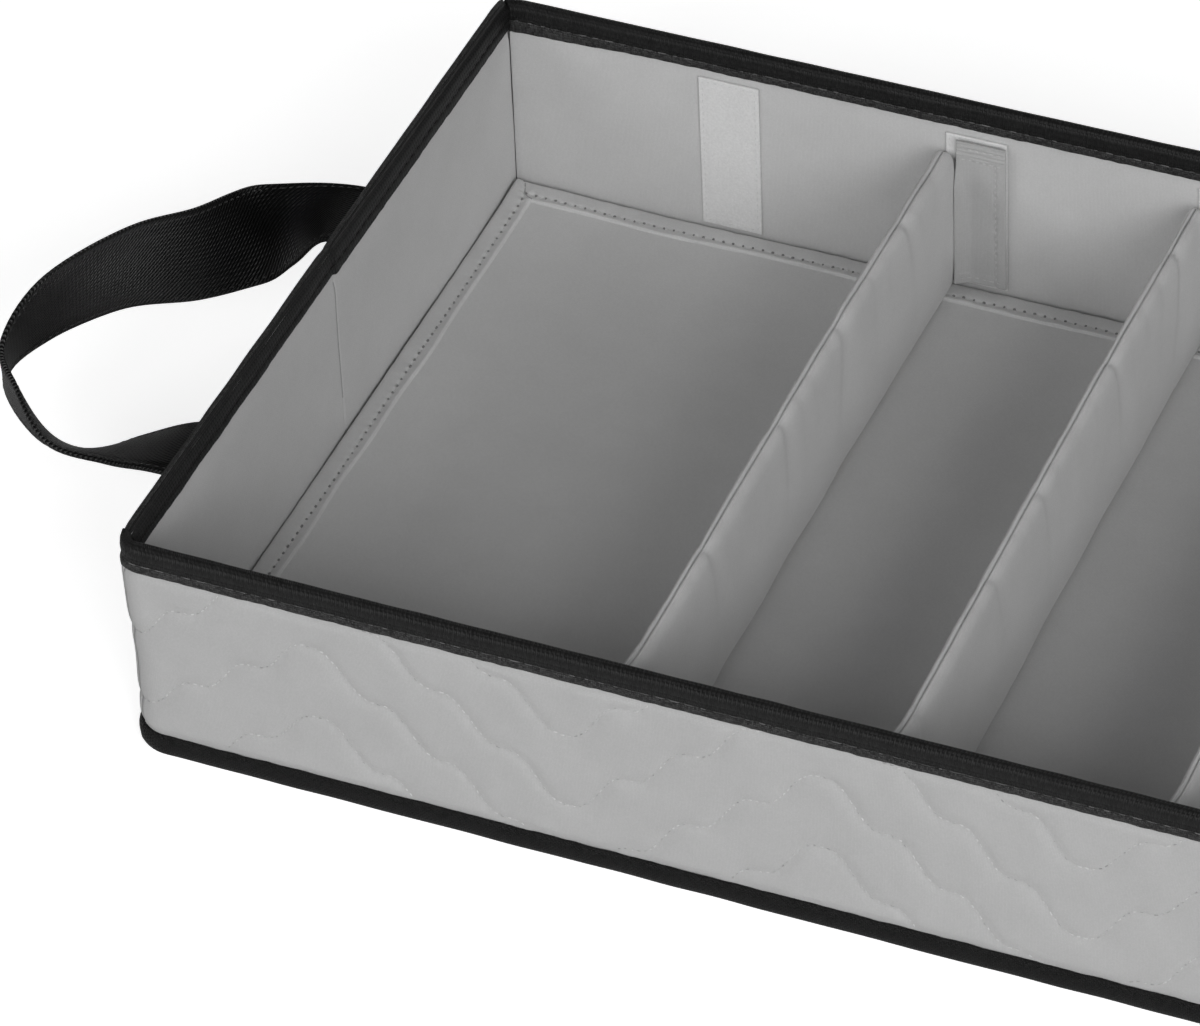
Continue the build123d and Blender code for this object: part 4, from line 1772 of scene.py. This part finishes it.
        # Slot 1 paints shade into the faces of the seam's groove.
        maker.tube(points, places, np.where(from_groove < self.groove_shade, 1, 0))
        cloths = self.wardrobe.pick("divider_grey", "seam_shade")
        made = maker.build(f"divider_{number}_pad", cloths)
        dress(made, f"divider_{number}_cover", f"divider_{number}")

    def _bend(self, u: np.ndarray, v: np.ndarray) -> np.ndarray:
        """Return how far a tab bends off the divider at each place."""
        return self.tab_bend * ease(1.0 - u / (7.5 * MM)) ** 1.5 * fall(v, 62.0 * MM, 17.0 * MM)

    def _tab_relief(self, panel: Panel, seed: int, u: np.ndarray, v: np.ndarray) -> np.ndarray:
        """Return the relief of a tab, with its ribbed top hem, its side hem and its foot.

        Args:
            panel: The tab.
            seed: Number that picks its waves and lumps.
            u: Places along it.
            v: Places across it.

        Returns:
            The relief in metres.
        """
        from_top, from_right = panel.width - v, panel.length - u
        waves = from_top + 0.35 * MM * soft_noise(u, np.zeros_like(v), 7.0 * MM, seed)
        top = before(from_top, self.top_hem, 0.8 * MM)
        side = before(from_right, self.side_hem, 0.7 * MM) * (1.0 - top)
        foot = before(v, self.low_hem, 0.8 * MM)
        ribs = self.rib_depth * np.cos(math.tau * waves / self.rib_pitch)
        lumps = 0.18 * MM * soft_noise(u, v, 3.5 * MM, seed + 4)
        sewn = bell(from_right - self.side_hem + 0.3 * MM, 0.7 * MM) * (1.0 - top)
        pucker = 1.0 + 0.5 * np.cos(math.tau * v / (2.0 * self.sewing.pitch))
        broad = 0.2 * MM * soft_noise(u, v, 14.0 * MM, seed + 2)
        hems = top * (0.3 * MM + ribs) + side * 0.3 * MM + foot * (0.25 * MM + lumps)
        return broad + hems - 0.4 * MM * sewn * pucker

    def _tab(self, number: int, end: str, sign: int) -> None:
        """Make one end tab, which bends off the divider and has a ribbed hem at its top.

        Args:
            number: The divider's number.
            end: front or back.
            sign: Direction along the case's depth in which its visible face looks.
        """
        node = f"divider_{number}_{end}_tab"
        panel = Panel(node, sign, 0.5 * MM, 0.55 * MM, bend=self._bend)
        relief = partial(self._tab_relief, panel, 100 + number)
        maker = MeshMaker()
        panel.fill(maker, relief)
        first, last = self.tab_margin, panel.length - self.tab_margin
        seam, tall = panel.length - self.side_hem + 0.3 * MM, panel.width
        heights = (tall - self.top_hem - 0.4 * MM, tall - 3.1 * MM, 2.6 * MM)
        rows = [[(first, v), (last, v)] for v in heights]
        for corners in (*rows, [(seam, tall - self.top_hem), (seam, 2.4 * MM)]):
            panel.row(maker, corners, self.sewing, relief)
        made = maker.build(f"{node}_cloth", self.wardrobe.pick("tab_grey", "hem_thread"))
        dress(made, node, f"divider_{number}")


@dataclass
class StrapHandles:
    """Strap handles with their sewn ends on the end walls."""

    wardrobe: Wardrobe
    width: float = 38.0 * MM
    thick: float = 2.4 * MM
    reach: float = 110.0 * MM
    half_spacing: float = 73.5 * MM
    fold_x: float = 254.5 * MM
    fold_z: float = 58.0 * MM
    sections: int = 150
    places_across: int = 24
    edge: float = 0.9 * MM
    edge_seam: float = 3.2 * MM
    end_length: float = 20.0 * MM
    sewing: Sewing = Sewing(pitch=3.4 * MM, length=2.5 * MM, radius=0.25 * MM)
    end_tilts: tuple[float, ...] = (0.0, 8.0, 50.0, 90.0)
    route: tuple[tuple[float, float, float, float], ...] = (
        (0.00, 1.00, 0.0, 0.0), (0.216, 1.01, 1.0, -3.0), (0.422, 0.962, -8.0, 20.0),
        (0.526, 0.782, -8.3, 57.0), (0.631, 0.511, -4.3, 75.3), (0.785, 0.144, 4.2, 91.1),
        (0.928, -0.356, 7.6, 100.5), (1.012, -0.636, -5.3, 98.8), (0.848, -0.872, -12.0, 73.5),
        (0.640, -1.030, -13.5, 42.0), (0.450, -0.965, -12.0, 24.0), (0.260, -0.965, -5.0, 9.0),
        (0.00, -1.00, 0.0, 0.0),
    )

    def _stations(self) -> tuple[np.ndarray, np.ndarray, np.ndarray]:
        """Return centre points, directions across and face normals along the left strap."""
        table = np.array(self.route)
        places = [
            -self.fold_x - table[:, 0] * self.reach,
            table[:, 1] * self.half_spacing,
            self.fold_z + table[:, 2] * MM,
        ]
        centre = np.stack(places, axis=1)
        along = np.empty_like(centre)
        along[1:-1] = unit(centre[2:] - centre[:-2])
        along[0], along[-1] = (-1.0, 0.0, 0.0), (1.0, 0.0, 0.0)
        up = unit(np.array([0.0, 0.0, 1.0]) - along * along[:, 2:])
        outside = np.cross(along, up)
        roll = np.radians(table[:, 3])[:, None]
        across = outside * np.cos(roll) + up * np.sin(roll)
        return centre, across, np.cross(across, along)

    def _folded(self) -> tuple[np.ndarray, np.ndarray, np.ndarray]:
        """Return the stations with the folds down to the sewn ends added."""
        centre, across, normal = self._stations()
        wall = -self.fold_x + 0.25 * MM
        x = np.array([wall, wall, wall - 0.9 * MM, wall - 3.4 * MM])
        z = np.array([50.0 * MM, 54.6 * MM, 57.0 * MM, self.fold_z])
        tilt = np.radians(self.end_tilts)
        faces = np.stack([np.cos(tilt), 0.0 * tilt, np.sin(tilt)], axis=1)
        count = len(tilt)
        first = np.stack([x, np.full(count, centre[0, 1]), z], axis=1)
        last = np.stack([x, np.full(count, centre[-1, 1]), z], axis=1)[::-1]
        ends = [np.tile(across[k], (count, 1)) for k in (0, -1)]
        centre = np.concatenate([first, centre[1:-1], last])
        across = np.concatenate([ends[0], across[1:-1], ends[1]])
        normal = np.concatenate([faces, normal[1:-1], faces[::-1]])
        return centre, across, normal

    def build(self) -> None:
        """Make both straps and their four sewn ends."""
        stations = np.concatenate(self._folded(), axis=1)
        line = smooth_line(stations, self.sections)
        centre, across, normal = line[:, :3], unit(line[:, 3:6]), unit(line[:, 6:])
        normal = unit(normal - across * (normal * across).sum(axis=1, keepdims=True))
        run = distances(centre)
        for side, turn in (("left", 1.0), ("right", -1.0)):
            spin = np.array([turn, turn, 1.0])
            self._strap(side, centre * spin, across * spin, normal * spin, run)
            for end in ("front", "back"):
                self._sewn_end(side, end)
        LOG.info("strap length between the folds: %.0f mm", (run[-1] - self.end_length) / MM)

    def _across_places(self) -> np.ndarray:
        """Return the places across the strap at which its faces are made."""
        half = self.width / 2.0
        rim = half - self.edge * (1.0 - np.cos(np.linspace(0.0, math.pi / 2.0, 4)))
        inner = np.linspace(self.edge - half, half - self.edge, self.places_across)[1:-1]
        return np.concatenate([-rim, inner, rim[::-1]])

    def _strap(
        self, side: str, centre: np.ndarray, across: np.ndarray, normal: np.ndarray, run: np.ndarray
    ) -> None:
        """Make one strap.

        Args:
            side: left or right.
            centre: Points along its middle.
            across: Directions across it.
            normal: Directions out of its upper face.
            run: Distance along it.
        """
        w = self._across_places()
        half = self.width / 2.0
        near = half - np.abs(w)
        round_edge = np.sqrt(1.0 - (1.0 - np.clip(near / self.edge, 0.0, 1.0)) ** 2)
        seam = 0.3 * bell(near - self.edge_seam, 0.9 * MM)
        thick = self.thick / 2.0 * round_edge * (0.92 - seam)
        wave = 0.25 * MM * soft_noise(run[:, None], w[None, :], 18.0 * MM, 71)
        out = normal[:, None]
        mid = centre[:, None] + across[:, None] * w[None, :, None] + out * wave[..., None]
        front, back = (mid + sign * out * thick[None, :, None] for sign in (1.0, -1.0))
        back[[0, -1]] = front[[0, -1]] = mid[[0, -1]]
        maker = MeshMaker()
        cloth = np.stack(np.broadcast_arrays(run[:, None], w[None, :]), axis=-1)
        maker.shell(front, back, cloth)
        for place in (half - self.edge_seam, self.edge_seam - half):
            column = int(np.argmin(np.abs(w - place)))
            for face, sign in ((front, 1.0), (back, -1.0)):
                maker.stitches(face[2:-2, column], normal[2:-2] * sign, self.sewing)
        cloths = self.wardrobe.pick("strap_black", "strap_thread")
        made = maker.build(f"{side}_handle_strap_cloth", cloths)
        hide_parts(f"{side}_handle_strap")
        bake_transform(made)

    @staticmethod
    def _end_relief(u: np.ndarray, v: np.ndarray) -> np.ndarray:
        """Return the relief of a sewn end."""
        return 0.12 * MM * soft_noise(u, v, 8.0 * MM, 90)

    def _sewn_end(self, side: str, end: str) -> None:
        """Make one sewn end with its box and cross of stitches."""
        node = f"{side}_handle_{end}_end"
        panel = Panel(node, -1 if side == "left" else 1, 0.9 * MM, 2.0 * MM)
        maker = MeshMaker()
        panel.fill(maker, self._end_relief)
        box = panel.loop(self.edge_seam)
        for corners in (box, [box[0], box[2]], [box[1], box[3]]):
            panel.row(maker, corners, self.sewing, self._end_relief)
        made = maker.build(f"{node}_cloth", self.wardrobe.pick("strap_black", "strap_thread"))
        dress(made, node)


def dress_boards(wardrobe: Wardrobe) -> None:
    """Give the boards and the hook patches, which keep their CAD shape, their materials."""
    for name, node in frame["nodes"].items():
        if "board" in name or name.endswith("_hook"):
            finish = "board_brown" if "board" in name else "hook_plastic"
            node.data.materials.clear()
            node.data.materials.append(*wardrobe.pick(finish))


# Studio


@dataclass(frozen=True)
class Studio:
    """White floor, soft lamps and the camera at the photograph's angle."""

    eye: Triple = (0.8036, -2.0610, 1.9270)
    right: Triple = (0.92098, 0.38792, -0.03624)
    up: Triple = (-0.22564, 0.60690, 0.76208)
    back: Triple = (0.31762, -0.69368, 0.64647)
    lens: float = 234.0
    sensor: float = 36.0
    sky: float = 0.03
    floor_half: float = 6.0
    floor_z: float = -0.0005
    floor_tone: float = 0.75
    floor_roughness: float = 0.9
    floor_glow: float = 0.72
    aim: Triple = (0.0, 0.0, 0.05)
    lamp_size: float = 2.5
    lamps: tuple[tuple[str, Triple, float], ...] = (
        ("key_right", (3.4, -3.8, 3.0), 135.0),
        ("key_low", (4.0, -4.4, 1.2), 55.0),
        ("front", (0.0, -5.0, 3.0), 76.0),
        ("front_low", (0.0, -6.0, 1.2), 23.0),
        ("fill_left", (-3.5, -3.6, 3.0), 68.0),
        ("side_right", (5.0, -1.0, 3.0), 32.0),
        ("back", (0.0, 5.0, 3.0), 14.0),
        ("back_low", (0.0, 6.0, 1.3), 45.0),
    )

    def build(self) -> None:
        """Make the camera, the lamps, the world and the floor."""
        self._camera()
        self._world()
        for name, place, power in self.lamps:
            self._lamp(name, place, power)
        self._floor()
        bpy.context.scene.view_settings.view_transform = "Standard"

    def _camera(self) -> None:
        """Set the camera where the photograph was taken from."""
        data = bpy.data.cameras.new("photo_camera")
        data.lens = self.lens
        data.sensor_width = self.sensor
        data.sensor_fit = "HORIZONTAL"
        data.clip_end = 50.0
        camera = bpy.data.objects.new("photo_camera", data)
        columns = [Vector(axis).normalized() for axis in (self.right, self.up, self.back)]
        turned = Matrix(columns).transposed().to_4x4()
        camera.matrix_world = Matrix.Translation(self.eye) @ turned
        bpy.context.scene.collection.objects.link(camera)
        bpy.context.scene.camera = camera

    def _world(self) -> None:
        """Light the case evenly and show white behind it."""
        world = bpy.data.worlds.new("white_room")
        world.use_nodes = True
        pen = NodePen(world.node_tree)
        background = world.node_tree.nodes["Background"]
        path = pen.add("ShaderNodeLightPath")
        rays = [path.outputs[name] for name in ("Is Camera Ray", "Is Transmission Ray")]
        seen = pen.calc("MAXIMUM", *rays)
        strength = pen.calc("MULTIPLY_ADD", seen, 1.0 - self.sky, self.sky)
        background.inputs["Color"].default_value = (1.0, 1.0, 1.0, 1.0)
        pen.feed(background.inputs["Strength"], strength)
        bpy.context.scene.world = world

    def _lamp(self, name: str, place: Triple, power: float) -> None:
        """Add a square soft lamp that faces the case."""
        data = bpy.data.lights.new(name, "AREA")
        data.shape = "SQUARE"
        data.size = self.lamp_size
        data.energy = power
        lamp = bpy.data.objects.new(name, data)
        lamp.location = place
        lamp.rotation_euler = (Vector(self.aim) - Vector(place)).to_track_quat("-Z", "Y").to_euler()
        bpy.context.scene.collection.objects.link(lamp)

    def _floor(self) -> None:
        """Lay a white floor that keeps the case's shadow."""
        mesh = bpy.data.meshes.new("studio_floor")
        signs = ((-1, -1), (1, -1), (1, 1), (-1, 1))
        corners = [(x * self.floor_half, y * self.floor_half, self.floor_z) for x, y in signs]
        mesh.from_pydata(corners, [], [(0, 1, 2, 3)])
        material, pen, shader = new_material("studio_white")
        shader.inputs["Base Color"].default_value = (*grey(self.floor_tone), 1.0)
        shader.inputs["Roughness"].default_value = self.floor_roughness
        shader.inputs["Specular IOR Level"].default_value = 0.0
        path = pen.add("ShaderNodeLightPath")
        shader.inputs["Emission Color"].default_value = (1.0, 1.0, 1.0, 1.0)
        glow = pen.calc("MULTIPLY", path.outputs["Is Camera Ray"], self.floor_glow)
        pen.feed(shader.inputs["Emission Strength"], glow)
        mesh.materials.append(material)
        floor = bpy.data.objects.new("studio_floor", mesh)
        bpy.context.scene.collection.objects.link(floor)


def main() -> None:
    """Dress the case and set the studio."""
    logging.basicConfig(level=logging.INFO, format="%(name)s: %(message)s")
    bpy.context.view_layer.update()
    wardrobe = Wardrobe()
    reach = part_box("base_binding")[1]
    outline = Outline(float(reach.x), float(reach.y))
    QuiltedCovers(outline, wardrobe).build()
    RimBinding(outline, wardrobe).build()
    BaseBinding(outline, wardrobe).build()
    Linings(outline, wardrobe).build()
    LoopStrips(wardrobe).build()
    BaseInsert(wardrobe).build()
    Dividers(wardrobe).build()
    StrapHandles(wardrobe).build()
    dress_boards(wardrobe)
    Studio().build()


if __name__ == "__main__":
    main()
